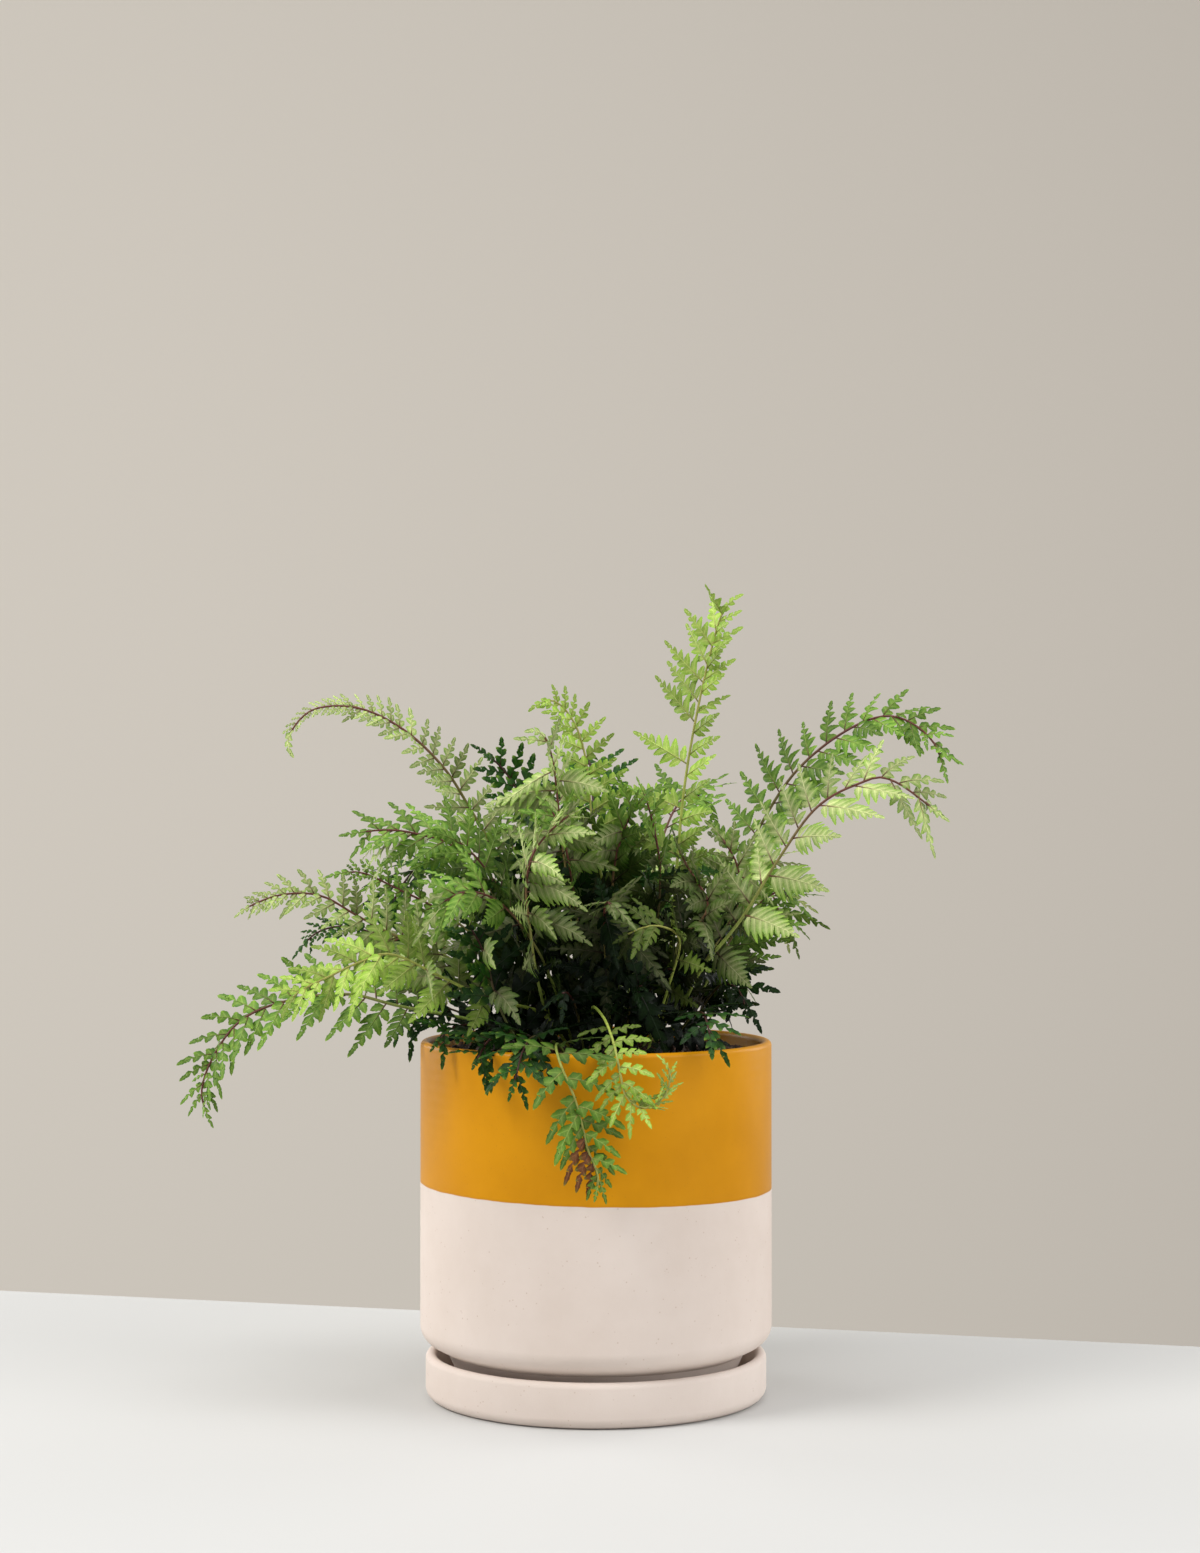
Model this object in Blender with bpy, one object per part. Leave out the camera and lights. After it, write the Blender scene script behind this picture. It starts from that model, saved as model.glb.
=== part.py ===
"""Potted Japanese painted fern: a two-tone clay pot in its saucer, potting mix, and one node for each frond.

Metres, +Z up. The origin is the centre of the saucer's flat underside, and the front of the plant looks to -Y.
"""

import math
import random
from collections import namedtuple

import bmesh
import bpy
from mathutils import Matrix, Vector
from mathutils.bvhtree import BVHTree

MM = 0.001
GAP = 0.3 * MM  # between pieces that touch

# Saucer
SAUCER_RADIUS = 84.8 * MM
SAUCER_HEIGHT = 22 * MM
SAUCER_WALL = 5.8 * MM
SAUCER_FLOOR = 5 * MM
SAUCER_CORNER = 5.3 * MM
SAUCER_COVE = 3 * MM  # between its floor and the inside of its wall

# Pot, with its heights measured from the surface that the saucer stands on
POT_RADIUS = 87.5 * MM
POT_TOP = 176.5 * MM
POT_WALL = 4.6 * MM
POT_FLOOR = 6.2 * MM
POT_CORNER = 10 * MM  # the round between the wall and the underside
POT_CORNER_TOP = 36 * MM
POT_CORNER_TURN = 62  # degrees that the round turns in before it meets the foot
FOOT_TOP_RADIUS = 74.4 * MM
FOOT_TOP = 23 * MM
FOOT_RADIUS = 66 * MM
POT_BOTTOM = SAUCER_FLOOR + GAP
DRAIN_RADIUS = 7 * MM

# Potting mix
SOIL_EDGE = 169 * MM
SOIL_MOUND = 4 * MM  # rise of its middle over its edge
SOIL_GAP = 0.5 * MM
STEM_DEPTH = 12 * MM

ROUND_STEPS = 32  # sides of the turned pieces
SHARP_ANGLE = 40  # degrees, over which an edge of a turned piece is shaded sharp

# Ribs: a stalk and its midrib, three-sided, with a flat top and a keel
ROOT_HALF_WIDTH = 0.5 * MM  # at the root of a rib with no length
ROOT_HALF_WIDTH_GAIN = 0.0034  # what each metre of the rib's length adds to it
TIP_HALF_WIDTH = 0.55 * MM
RIB_TOP = 0.6  # height of the flat top over the centre, as a share of the half width
KEEL = 1.1  # depth of the keel, likewise
STALK_RING_EVERY = 30 * MM
LEAST_STALK_RINGS = 3
FOOT_RISE = 2 * MM  # how far the straight foot stands out of the potting mix
CURVE_STEPS = 6  # between two points of a route
PAIR_CROWDING = 1.25  # over 1, the pairs of pinnae stand closer towards the tip
STAGGER = 0.16  # of the space between two pairs, by which the two sides stand apart

# Pinnae: the cut blades on a rib
BLADE_THICKNESS = 0.7 * MM
PINNA_HALF_WIDTH = 0.23  # of its length
PINNA_BASE = 1.9 * MM
LEAST_PINNA = 5 * MM
PINNA_ANGLE = 76  # between a pinna and its rib at the foot of the leafy part, in degrees
PINNA_ANGLE_CLOSING = 34  # how far that closes at the tip
PINNA_RAISE = 14  # lift out of the rib's plane, in degrees
MOST_RAISE = 44  # a steeper pinna would cross its own rib
PINNA_SAG = 0.16  # fall of its end, as a share of its length
PINNA_SWEEP = 0.10  # turn of its end towards the tip, likewise
LOBED_LENGTHS = (17 * MM, 34 * MM, 54 * MM)  # past each of these a pinna has one more pair of leaflets
LEAST_ANGLES = (30, 30, 42, 52)  # to its rib, by its pairs of leaflets, so that those clear the rib
LOBE_REACH = 1.15  # of the pinna's half width there
LOBE_LEAN = 0.85  # where a leaflet's tip lies between the cut before it and the one after
CUT_LEAVES = 0.8 * MM  # the least that a cut leaves beside the pinna's midrib
CUT_FLOOR = 0.2  # of the half width that a cut leaves near the pinna's foot
CUT_RISE = 0.45  # what that gains towards its tip
EDGE_DROOP = 0.3  # fall of a leaflet's tip, as a share of its reach

# Half the spread of what is drawn by chance for each pinna
ANGLE_SPREAD = 5
RAISE_SPREAD = 7
TWIST_SPREAD = 14
SAG_SPREAD = 0.07
LENGTH_SPREAD = 0.09

# Space kept round each piece of foliage
ENVELOPE_SHARES = (0.05, 0.3, 0.55, 0.78, 1)  # of a pinna's length, where its space is measured
ENVELOPE_REACH = LOBE_REACH + 0.05
BLUNT_END = 0.97  # the share of its length from which a pinna's space keeps its width
CLEARANCE = 0.35 * MM  # between the foliage of different fronds
STALK_CLEARANCE = 0.8 * MM
TUBE_START = 1.5 * STEM_DEPTH  # length along a rib where its space begins, clear of its hole
TUBE_STEP = 6 * MM

# The photograph's eye point, in millimetres from the pot's axis and above the surface
EYE_DISTANCE = 1400
EYE_HEIGHT = 291.4

# A frond's route runs from its root to its tip. Each point is its place across, its depth behind the pot's
# axis and its height, in millimetres, as seen in the photograph in the plane through the pot's axis. bare is
# the share of the route with no pinnae, longest is the longest pinna in millimetres, taper is how soon they
# shorten towards the tip, and roll turns the upper face, in degrees. left and right are each side's share of
# the full length.
Frond = namedtuple("Frond", "name tone pairs bare longest taper roll route left right", defaults=(1, 1))

SEEN_FRONDS = [
    Frond("frond_tall", "lime", 8, 0.33, 40, 0.32, 55,
          [(33, 8, 172), (36, 10, 203), (40, 12, 257), (44, 14, 301), (51, 14, 342), (60, 12, 380),
           (66, 8, 394), (74, 4, 399)], left=1.15, right=0.7),
    Frond("frond_right_arch", "green", 8, 0.38, 36, 0.45, 45,
          [(30, 26, 172), (46, 32, 216), (62, 34, 246), (77, 34, 274), (98, 31, 308), (124, 26, 330),
           (148, 20, 338), (168, 12, 326), (176, 6, 304)], right=1.2),
    Frond("frond_right_silver", "silver", 8, 0.32, 42, 0.35, 50,
          [(36, -8, 172), (43, -16, 192), (53, -24, 212), (73, -32, 237), (91, -36, 266),
           (110, -38, 292), (131, -40, 304), (148, -40, 306), (177, -38, 285)], left=0.9, right=1.25),
    Frond("frond_right_low", "silver", 5, 0.4, 40, 0.6, 55,
          [(30, -18, 172), (37, -24, 204), (42, -28, 227), (52, -30, 235), (56, -30, 245),
           (50, -28, 256), (43, -25, 268), (38, -22, 282)]),
    Frond("frond_left_arch", "silver", 8, 0.4, 30, 1, -50,
          [(-14, 24, 172), (-26, 30, 215), (-40, 34, 252), (-62, 34, 290), (-76, 32, 312),
           (-96, 28, 331), (-119, 24, 342), (-142, 20, 341), (-154, 16, 327), (-151, 14, 317)]),
    Frond("frond_left_middle", "green", 6, 0.35, 44, 0.5, -50,
          [(-20, 8, 172), (-34, 4, 215), (-52, 0, 250), (-70, -4, 272), (-89, -8, 279),
           (-107, -10, 281), (-129, -12, 278)]),
    Frond("frond_left_long", "silver", 7, 0.46, 30, 0.7, -55,
          [(-25, 20, 172), (-48, 28, 200), (-75, 32, 218), (-98, 32, 227), (-119, 30, 238),
           (-137, 28, 248), (-155, 26, 249), (-171, 24, 244), (-181, 22, 237)]),
    Frond("frond_left_small", "green", 5, 0.5, 26, 0.7, -55,
          [(-12, 36, 172), (-40, 50, 208), (-72, 56, 237), (-100, 56, 252), (-119, 54, 260),
           (-136, 50, 257)]),
    Frond("frond_left_dark", "dark", 5, 0.5, 26, 0.7, -45,
          [(-10, 45, 172), (-46, 64, 197), (-90, 72, 220), (-120, 72, 232), (-139, 68, 230),
           (-152, 62, 216)]),
    Frond("frond_left_droop", "green", 8, 0.36, 34, 0.55, -50,
          [(-29, 0, 172), (-62, -8, 186), (-98, -12, 193), (-124, -12, 199), (-153, -12, 196),
           (-176, -14, 187), (-190, -16, 170), (-197, -18, 150), (-191, -20, 132)]),
    Frond("frond_left_lime", "lime", 7, 0.38, 38, 0.55, -55,
          [(-14, -18, 172), (-28, -34, 190), (-52, -46, 196), (-78, -54, 208), (-102, -60, 219),
           (-118, -62, 215), (-133, -64, 208), (-150, -64, 199), (-157, -62, 186)]),
    Frond("frond_front_left", "dark", 4, 0.3, 36, 0.5, -65,
          [(-33, -52, 170), (-43, -56, 182), (-50, -58, 197), (-54, -58, 213), (-60, -56, 228),
           (-70, -54, 240)]),
    Frond("frond_centre_front", "silver", 6, 0.34, 50, 0.6, 75,
          [(-20, -30, 171), (-25, -42, 189), (-30, -52, 210), (-33, -60, 232), (-35, -64, 252),
           (-31, -66, 270), (-18, -66, 285), (-3, -64, 294)]),
    Frond("frond_top_light", "lime", 7, 0.42, 34, 0.6, -72,
          [(4, 4, 173), (4, 8, 246), (0, 10, 270), (-3, 12, 296), (-5, 12, 316), (-11, 11, 335),
           (-22, 8, 346), (-34, 4, 340)]),
    Frond("frond_top_silver", "silver", 6, 0.36, 44, 0.5, -68,
          [(-7, -5, 173), (-12, -12, 236), (-18, -18, 284), (-21, -22, 312), (-26, -28, 328),
           (-36, -36, 330)]),
    Frond("frond_top_dark", "dark", 6, 0.38, 40, 0.5, -55,
          [(-7, 14, 173), (-16, 20, 230), (-28, 24, 278), (-40, 24, 302), (-50, 22, 315),
           (-63, 18, 324)]),
    Frond("frond_centre_right", "green", 5, 0.34, 46, 0.5, 72,
          [(13, -4, 173), (9, -10, 235), (9, -14, 262), (17, -20, 288), (28, -24, 301),
           (40, -26, 303)]),
    Frond("frond_centre_low", "silver", 4, 0.42, 38, 0.5, 20,
          [(8, -22, 172), (5, -38, 212), (4, -52, 238), (6, -66, 245), (10, -80, 236)]),
    Frond("frond_right_lime", "lime", 5, 0.42, 34, 0.5, -50,
          [(26, -31, 172), (37, -44, 205), (42, -52, 226), (32, -60, 233), (20, -64, 231),
           (8, -66, 224)]),
    Frond("frond_front_droop", "green", 7, 0.34, 30, 0.45, 0,
          [(-16, -46, 171), (-19, -68, 174), (-20, -88, 172), (-17, -99, 162), (-11, -101, 148),
           (-7, -100, 134), (-4, -99, 121), (1, -98, 108), (-1, -99, 95)]),
    Frond("frond_front_curl", "lime", 6, 0.48, 19, 0.5, 30,
          [(2, -34, 172), (-2, -48, 192), (4, -70, 187), (9, -90, 174), (12, -101, 160),
           (15, -102, 148), (24, -103, 142), (34, -104, 148), (37, -104, 160), (30, -104, 169)]),
    Frond("frond_low_left", "dark", 3, 0.35, 32, 0.5, -35,
          [(-32, 11, 172), (-58, 8, 186), (-80, 4, 193), (-94, 0, 186), (-101, -4, 172)]),
    Frond("frond_rim_left", "dark", 4, 0.35, 34, 0.5, -25,
          [(-34, -14, 171), (-55, -34, 183), (-72, -52, 182), (-83, -64, 170)]),
    Frond("frond_rim_front", "dark", 4, 0.35, 34, 0.5, -10,
          [(-29, -34, 171), (-42, -58, 180), (-54, -80, 175), (-62, -93, 161)]),
    Frond("frond_rim_middle", "dark", 4, 0.35, 32, 0.5, 0,
          [(-24, -44, 171), (-30, -68, 178), (-36, -90, 172), (-40, -101, 158), (-44, -104, 145)]),
    Frond("frond_rim_right", "dark", 3, 0.35, 28, 0.5, 10,
          [(36, -30, 171), (46, -50, 186), (53, -66, 190), (57, -82, 178), (58, -92, 166)]),
    Frond("frond_low_right", "dark", 4, 0.3, 34, 0.5, 35,
          [(43, 1, 171), (53, -8, 192), (63, -16, 204), (72, -24, 200), (76, -32, 184)]),
    Frond("frond_bush_left", "green", 6, 0.28, 52, 0.5, -55,
          [(-20, -7, 172), (-34, -16, 225), (-54, -24, 260), (-72, -30, 277), (-90, -34, 278)]),
    Frond("frond_bush_front", "green", 6, 0.28, 52, 0.5, -50,
          [(-11, -25, 172), (-26, -44, 215), (-46, -60, 243), (-66, -72, 250), (-86, -78, 238)]),
    Frond("frond_bush_middle", "green", 6, 0.3, 50, 0.5, -72,
          [(0, -13, 173), (-8, -30, 225), (-13, -42, 262), (-20, -50, 287), (-30, -56, 298)]),
    Frond("frond_bush_right", "green", 6, 0.3, 48, 0.5, 68,
          [(22, 3, 173), (29, -4, 220), (32, -10, 260), (27, -16, 290), (20, -22, 308)]),
    Frond("frond_wine", "silver", 5, 0.36, 44, 0.5, 55,
          [(24, -9, 172), (54, -6, 215), (71, -4, 244), (71, -2, 262), (63, 0, 277), (54, 2, 286)]),
    Frond("frond_inner_left", "dark", 4, 0.3, 34, 0.5, -20,
          [(-6, -42, 171), (-10, -54, 192), (-15, -68, 200), (-20, -80, 196)]),
    Frond("frond_inner_middle", "dark", 4, 0.3, 34, 0.5, 15,
          [(14, -42, 171), (17, -52, 192), (21, -66, 203), (26, -78, 200)]),
    Frond("frond_inner_right", "dark", 4, 0.3, 34, 0.5, 35,
          [(20, -16, 172), (26, -26, 198), (35, -38, 211), (45, -48, 208)]),
    Frond("frond_right_back", "green", 6, 0.34, 44, 0.5, 45,
          [(41, 19, 171), (58, 28, 210), (74, 34, 236), (90, 36, 250), (106, 34, 250)]),
]

# Fronds that the photograph hides, in each row: root across and depth, azimuth of the arch, its reach, the
# height of its top, and how far its tip hangs below that, in millimetres and degrees.
HIDDEN_FRONDS = [
    (12, 34, 60, 110, 300, 20),
    (24, 40, 50, 128, 262, 50),
    (2, 25, 96, 78, 318, 6),
    (-2, 56, 114, 124, 284, 38),
    (10, 48, 80, 136, 258, 62),
    (-20, 34, 140, 128, 262, 44),
    (36, 32, 32, 84, 246, 34),
    (-30, 28, 158, 104, 225, 30),
]
HIDDEN_TONES = ("green", "silver", "dark")
HIDDEN_PAIRS = 4
HIDDEN_BARE = 0.32
HIDDEN_LONGEST = 48
HIDDEN_TAPER = 0.5
ARCH = ((0.28, 0.60), (0.50, 0.90), (0.72, 1.0))  # share of an arch's reach, and of its rise there

DEPTH_SHIFTS = (0, 4, -4, 8, -8, 12, -12, 16, -16, 20, -20, 26, -26)  # tried for a rib in turn, in millimetres

TONES = {  # linear colour of the leaves, by tone
    "lime": (0.30, 0.47, 0.10),
    "silver": (0.33, 0.45, 0.22),
    "green": (0.13, 0.27, 0.07),
    "dark": (0.03, 0.10, 0.03),
}
LEAF_ROUGHNESS = 0.5


def clear_scene():
    for obj in list(bpy.data.objects):
        bpy.data.objects.remove(obj, do_unlink=True)


def plain_material(name, colour, roughness):
    material = bpy.data.materials.new(name)
    material.use_nodes = True
    shader = material.node_tree.nodes["Principled BSDF"]
    shader.inputs["Base Color"].default_value = (*colour, 1)
    shader.inputs["Roughness"].default_value = roughness
    shader.inputs["Metallic"].default_value = 0
    return material


def add_object(name, mesh, material):
    obj = bpy.data.objects.new(name, mesh)
    obj.data.materials.append(material)
    bpy.context.scene.collection.objects.link(obj)
    return obj


def apply_modifiers(obj):
    """Replaces the object's mesh with the one that its modifiers make, shaded smooth up to its sharp edges."""
    bpy.context.view_layer.update()
    evaluated = obj.evaluated_get(bpy.context.evaluated_depsgraph_get())
    mesh = bpy.data.meshes.new_from_object(evaluated)
    obj.modifiers.clear()
    obj.data = mesh
    mesh.shade_smooth()
    mesh.set_sharp_from_angle(angle=math.radians(SHARP_ANGLE))


def arc(centre, radius, start, end, steps):
    """Points of a profile's round, as (radius, height), from one angle to another in degrees."""
    points = []
    for step in range(steps + 1):
        angle = math.radians(start + (end - start) * step / steps)
        points.append((centre[0] + radius * math.cos(angle), centre[1] + radius * math.sin(angle)))
    return points


def turned(name, profile, material, closed):
    """A piece turned about Z from a profile that runs down its outer side, closed into a loop or not."""
    mesh = bpy.data.meshes.new(name)
    shape = bmesh.new()
    points = [shape.verts.new((radius, 0, height)) for radius, height in profile]
    for first, second in zip(points, points[1:]):
        shape.edges.new((first, second))
    if closed:
        shape.edges.new((points[-1], points[0]))
    shape.to_mesh(mesh)
    shape.free()
    obj = add_object(name, mesh, material)
    screw = obj.modifiers.new("turn", "SCREW")
    screw.angle = math.tau
    screw.steps = ROUND_STEPS
    screw.render_steps = ROUND_STEPS
    screw.use_merge_vertices = True
    screw.merge_threshold = 0.01 * MM
    apply_modifiers(obj)
    return obj


def build_saucer():
    inside = SAUCER_RADIUS - SAUCER_WALL
    lip = SAUCER_WALL / 2
    lip_centre = (SAUCER_RADIUS - lip, SAUCER_HEIGHT - lip)
    profile = [(0, SAUCER_FLOOR)]
    profile += [(inside - SAUCER_COVE, SAUCER_FLOOR), (inside, SAUCER_FLOOR + SAUCER_COVE)]
    profile += arc(lip_centre, lip, 180, 0, 3)
    profile += arc((SAUCER_RADIUS - SAUCER_CORNER, SAUCER_CORNER), SAUCER_CORNER, 0, -90, 2)
    profile += [(0, 0)]
    return turned("saucer", profile, plain_material("saucer", (0.80, 0.67, 0.58), 0.75), closed=False)


def foot_inside_radius(height):
    """Radius of the pot's hollow foot at a height."""
    slope = (FOOT_TOP_RADIUS - FOOT_RADIUS) / (FOOT_TOP - POT_BOTTOM)
    return FOOT_RADIUS - POT_WALL + (height - POT_BOTTOM) * slope


def build_pot():
    lip = POT_WALL / 2
    corner_centre = (POT_RADIUS - POT_CORNER, POT_CORNER_TOP)
    inner_corner = corner_centre[0] + POT_CORNER - POT_WALL
    floor = POT_BOTTOM + POT_FLOOR
    profile = arc((POT_RADIUS - lip, POT_TOP - lip), lip, 180, 0, 3)
    profile += arc(corner_centre, POT_CORNER, 0, -POT_CORNER_TURN, 3)
    profile += [(FOOT_TOP_RADIUS, FOOT_TOP), (FOOT_RADIUS, POT_BOTTOM), (DRAIN_RADIUS, POT_BOTTOM)]
    profile += [(DRAIN_RADIUS, floor), (foot_inside_radius(floor), floor)]
    profile += [(foot_inside_radius(FOOT_TOP), FOOT_TOP + POT_WALL)]
    profile += [(inner_corner, POT_CORNER_TOP + POT_WALL)]
    return turned("pot", profile, plain_material("pot", (0.73, 0.35, 0.01), 0.35), closed=True)


def soil_height(across, depth):
    """Height of the potting mix over a point, in metres."""
    share = min(1, math.hypot(across, depth) / (POT_RADIUS - POT_WALL))
    return SOIL_EDGE + SOIL_MOUND * (1 - share * share)


def build_soil(ribs):
    """The potting mix, with a plain hole for each stem."""
    radius = POT_RADIUS - POT_WALL - SOIL_GAP
    floor = POT_BOTTOM + POT_FLOOR + GAP
    profile = [(radius * share, soil_height(radius * share, 0)) for share in (0, 0.6, 1)]
    profile += [(radius, POT_CORNER_TOP + POT_WALL + GAP)]
    profile += [(foot_inside_radius(FOOT_TOP) - SOIL_GAP, FOOT_TOP + POT_WALL + GAP)]
    profile += [(foot_inside_radius(floor) - SOIL_GAP, floor), (0, floor)]
    soil = turned("soil", profile, plain_material("soil", (0.045, 0.028, 0.02), 0.95), closed=False)
    cutters = bpy.data.collections.new("stem_holes")
    for rib in ribs:
        cutters.objects.link(stem_hole(rib))
    cut = soil.modifiers.new("stem_holes", "BOOLEAN")
    cut.operation = "DIFFERENCE"
    cut.operand_type = "COLLECTION"
    cut.collection = cutters
    apply_modifiers(soil)
    for obj in list(cutters.objects):
        bpy.data.objects.remove(obj, do_unlink=True)
    bpy.data.collections.remove(cutters)
    return soil


def stem_hole(rib):
    """A square cutter that clears the foot of a stem on every side."""
    foot, _, normal, _ = rib.frame(0)
    shape = bmesh.new()
    bmesh.ops.create_cube(shape, size=1)
    across = 2 * (rib.root_half_width + GAP)
    bmesh.ops.scale(shape, verts=shape.verts, vec=(across, across, 2 * (STEM_DEPTH + GAP)))
    bmesh.ops.rotate(shape, verts=shape.verts, matrix=Matrix.Rotation(math.atan2(normal.y, normal.x), 3, "Z"))
    bmesh.ops.translate(shape, verts=shape.verts, vec=foot + Vector((0, 0, STEM_DEPTH)))
    mesh = bpy.data.meshes.new("stem_hole")
    shape.to_mesh(mesh)
    shape.free()
    return bpy.data.objects.new("stem_hole", mesh)


def from_view(across, depth, height):
    """A point read off the photograph, slid along its line of sight to its depth, in metres."""
    scale = (EYE_DISTANCE + depth) / EYE_DISTANCE
    return Vector((across * scale, depth, EYE_HEIGHT + (height - EYE_HEIGHT) * scale)) * MM


def hidden_frond(number, row):
    """A frond on the far side, which rises from its root and arches over."""
    across, depth, azimuth, reach, height, hang = row
    root = Vector((across, depth, 0)) * MM
    outward = Vector((math.cos(math.radians(azimuth)), math.sin(math.radians(azimuth)), 0)) * reach * MM
    base = soil_height(root.x, root.y)
    rise = height * MM - base
    drop = hang * MM / rise
    shares = ((0, 0), *ARCH, (0.88, 1 - 0.35 * drop), (1, 1 - drop))
    route = [root + outward * out + Vector((0, 0, base + rise * up)) for out, up in shares]
    return Frond(
        name=f"frond_back_{number + 1}",
        tone=HIDDEN_TONES[number % len(HIDDEN_TONES)],
        pairs=HIDDEN_PAIRS,
        bare=HIDDEN_BARE,
        longest=HIDDEN_LONGEST,
        taper=HIDDEN_TAPER,
        roll=0,
        route=route,
    )


class Rib:
    """A frond's stalk and midrib: a smooth curve, with the frame of the leafy part along it."""

    def __init__(self, frond, shift):
        self.frond = frond
        self.points = smooth_curve(rooted(shifted(frond.route, shift)))
        self.lengths = [0]
        for first, second in zip(self.points, self.points[1:]):
            self.lengths.append(self.lengths[-1] + (second - first).length)
        self.length = self.lengths[-1]
        lean = self.points[-1] - self.points[0]
        lean.z = 0
        self.across = lean.normalized().cross(Vector((0, 0, 1)))
        self.root_half_width = ROOT_HALF_WIDTH + ROOT_HALF_WIDTH_GAIN * self.length

    def half_width(self, at):
        return self.root_half_width + (TIP_HALF_WIDTH - self.root_half_width) * at / self.length

    def frame(self, at):
        """Centre, direction, upper normal and left side at a length along the rib."""
        at = min(max(at, 0), self.length)
        index = 1
        while index < len(self.lengths) - 1 and self.lengths[index] < at:
            index += 1
        start, end = self.points[index - 1], self.points[index]
        share = (at - self.lengths[index - 1]) / (self.lengths[index] - self.lengths[index - 1])
        before = self.points[max(index - 2, 0)]
        after = self.points[min(index + 1, len(self.points) - 1)]
        along = (end - before).normalized().lerp((after - start).normalized(), share).normalized()
        roll = math.radians(self.frond.roll)
        normal = self.across.cross(along).normalized() * math.cos(roll) + self.across * math.sin(roll)
        normal = (normal - along * normal.dot(along)).normalized()
        return start.lerp(end, share), along, normal, normal.cross(along)


def shifted(route, shift):
    """The route with its middle moved along the line of sight, and its root and tip left in place."""
    last = len(route) - 1
    moved = []
    for index, point in enumerate(route):
        bump = math.sin(math.pi * index / last)
        moved.append(point + Vector((0, shift * bump, 0)))
    return moved


def rooted(route):
    """The route with a straight foot in the potting mix."""
    root = route[0].copy()
    root.z = soil_height(root.x, root.y)
    return [root - Vector((0, 0, STEM_DEPTH)), root, root + Vector((0, 0, FOOT_RISE))] + route[1:]


def smooth_curve(points):
    """Points of a Catmull-Rom curve through the given ones."""
    ends = [points[0] * 2 - points[1]] + points + [points[-1] * 2 - points[-2]]
    curve = []
    for before, start, end, after in zip(ends, ends[1:], ends[2:], ends[3:]):
        for step in range(CURVE_STEPS):
            t = step / CURVE_STEPS
            curve.append(
                0.5 * ((2 * start) + (end - before) * t + (2 * before - 5 * start + 4 * end - after) * t * t
                       + (3 * start - before - 3 * end + after) * t * t * t)
            )
    return curve + [points[-1]]


class Pinna:
    """One cut blade on a rib. u runs along it from 0 to its length, v runs to its left."""

    def __init__(self, base, along, normal, bend, length):
        self.base = base
        self.along = along.normalized()
        self.normal = (normal - self.along * normal.dot(self.along)).normalized()
        self.bend = bend
        self.length = length

    def place(self, u, v, raised):
        share = u / self.length
        centre = self.base + self.along * u + self.bend * (u * share)
        tangent = (self.along + self.bend * (2 * share)).normalized()
        normal = (self.normal - tangent * self.normal.dot(tangent)).normalized()
        fall = EDGE_DROOP * v * v / (PINNA_HALF_WIDTH * self.length)
        return centre + normal.cross(tangent) * v + normal * (raised - fall)

    def half_width(self, u):
        share = u / self.length
        return PINNA_HALF_WIDTH * self.length * min(1, 0.45 + 4 * share) * (1 - share) ** 0.7


def lobe_pairs(length):
    """How many pairs of leaflets a pinna of a length is cut into."""
    return sum(length > limit for limit in LOBED_LENGTHS)


def envelope(pinna, margin):
    """The space that a pinna takes up, with a margin all round, as points and triangles."""
    rows = []
    for share in ENVELOPE_SHARES:
        reach = pinna.half_width(pinna.length * min(share, BLUNT_END)) * ENVELOPE_REACH + margin
        for raised in (margin + BLADE_THICKNESS / 2, -margin - BLADE_THICKNESS / 2):
            for side in (1, 0, -1):
                rows.append(pinna.place(pinna.length * share + margin * (share == 1), reach * side, raised))
    triangles = []
    ring = (0, 1, 2, 5, 4, 3)
    last = len(ENVELOPE_SHARES) - 1
    for row in range(last):
        for first, second in zip(ring, ring[1:] + ring[:1]):
            a, b = row * 6 + first, row * 6 + second
            triangles += [(a, b, b + 6), (a, b + 6, a + 6)]
    for base in (0, last * 6):
        triangles += [(base, base + 1, base + 4), (base, base + 4, base + 3)]
        triangles += [(base + 1, base + 2, base + 5), (base + 1, base + 5, base + 4)]
    return rows, triangles


def tube(rib, margin):
    """The space that a rib takes up above the potting mix, with a margin, as points and triangles."""
    rows = []
    count = round(rib.length / TUBE_STEP)
    for step in range(count + 1):
        at = TUBE_START + (rib.length - TUBE_START) * step / count
        centre, _, normal, side = rib.frame(at)
        reach = rib.half_width(at) + margin
        rows += [centre + (normal * a + side * b) * reach for a, b in ((1, 1), (1, -1), (-1, -1), (-1, 1))]
    triangles = []
    for row in range(count):
        for first, second in ((0, 1), (1, 2), (2, 3), (3, 0)):
            a, b = row * 4 + first, row * 4 + second
            triangles += [(a, b, b + 4), (a, b + 4, a + 4)]
    return rows, triangles


class Space:
    """What is placed already, so that the next piece can be bent clear of it."""

    def __init__(self):
        self.taken = []

    def add(self, points, triangles):
        self.taken.append((*bounds(points), BVHTree.FromPolygons(points, triangles)))

    def is_clear(self, points, triangles, leave_out=()):
        low, high = bounds(points)
        tree = None
        for index, (other_low, other_high, other) in enumerate(self.taken):
            if index in leave_out:
                continue
            if any(low[i] > other_high[i] or high[i] < other_low[i] for i in range(3)):
                continue
            tree = tree or BVHTree.FromPolygons(points, triangles)
            if tree.overlap(other):
                return False
        return True


def bounds(points):
    low = [min(point[i] for point in points) for i in range(3)]
    high = [max(point[i] for point in points) for i in range(3)]
    return low, high


def add_solid_to_space(space, obj):
    """Takes the space of an object that is finished already."""
    evaluated = obj.evaluated_get(bpy.context.evaluated_depsgraph_get())
    mesh = evaluated.to_mesh()
    points = [vertex.co.copy() for vertex in mesh.vertices]
    space.add(points, [tuple(polygon.vertices) for polygon in mesh.polygons])
    evaluated.to_mesh_clear()


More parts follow.
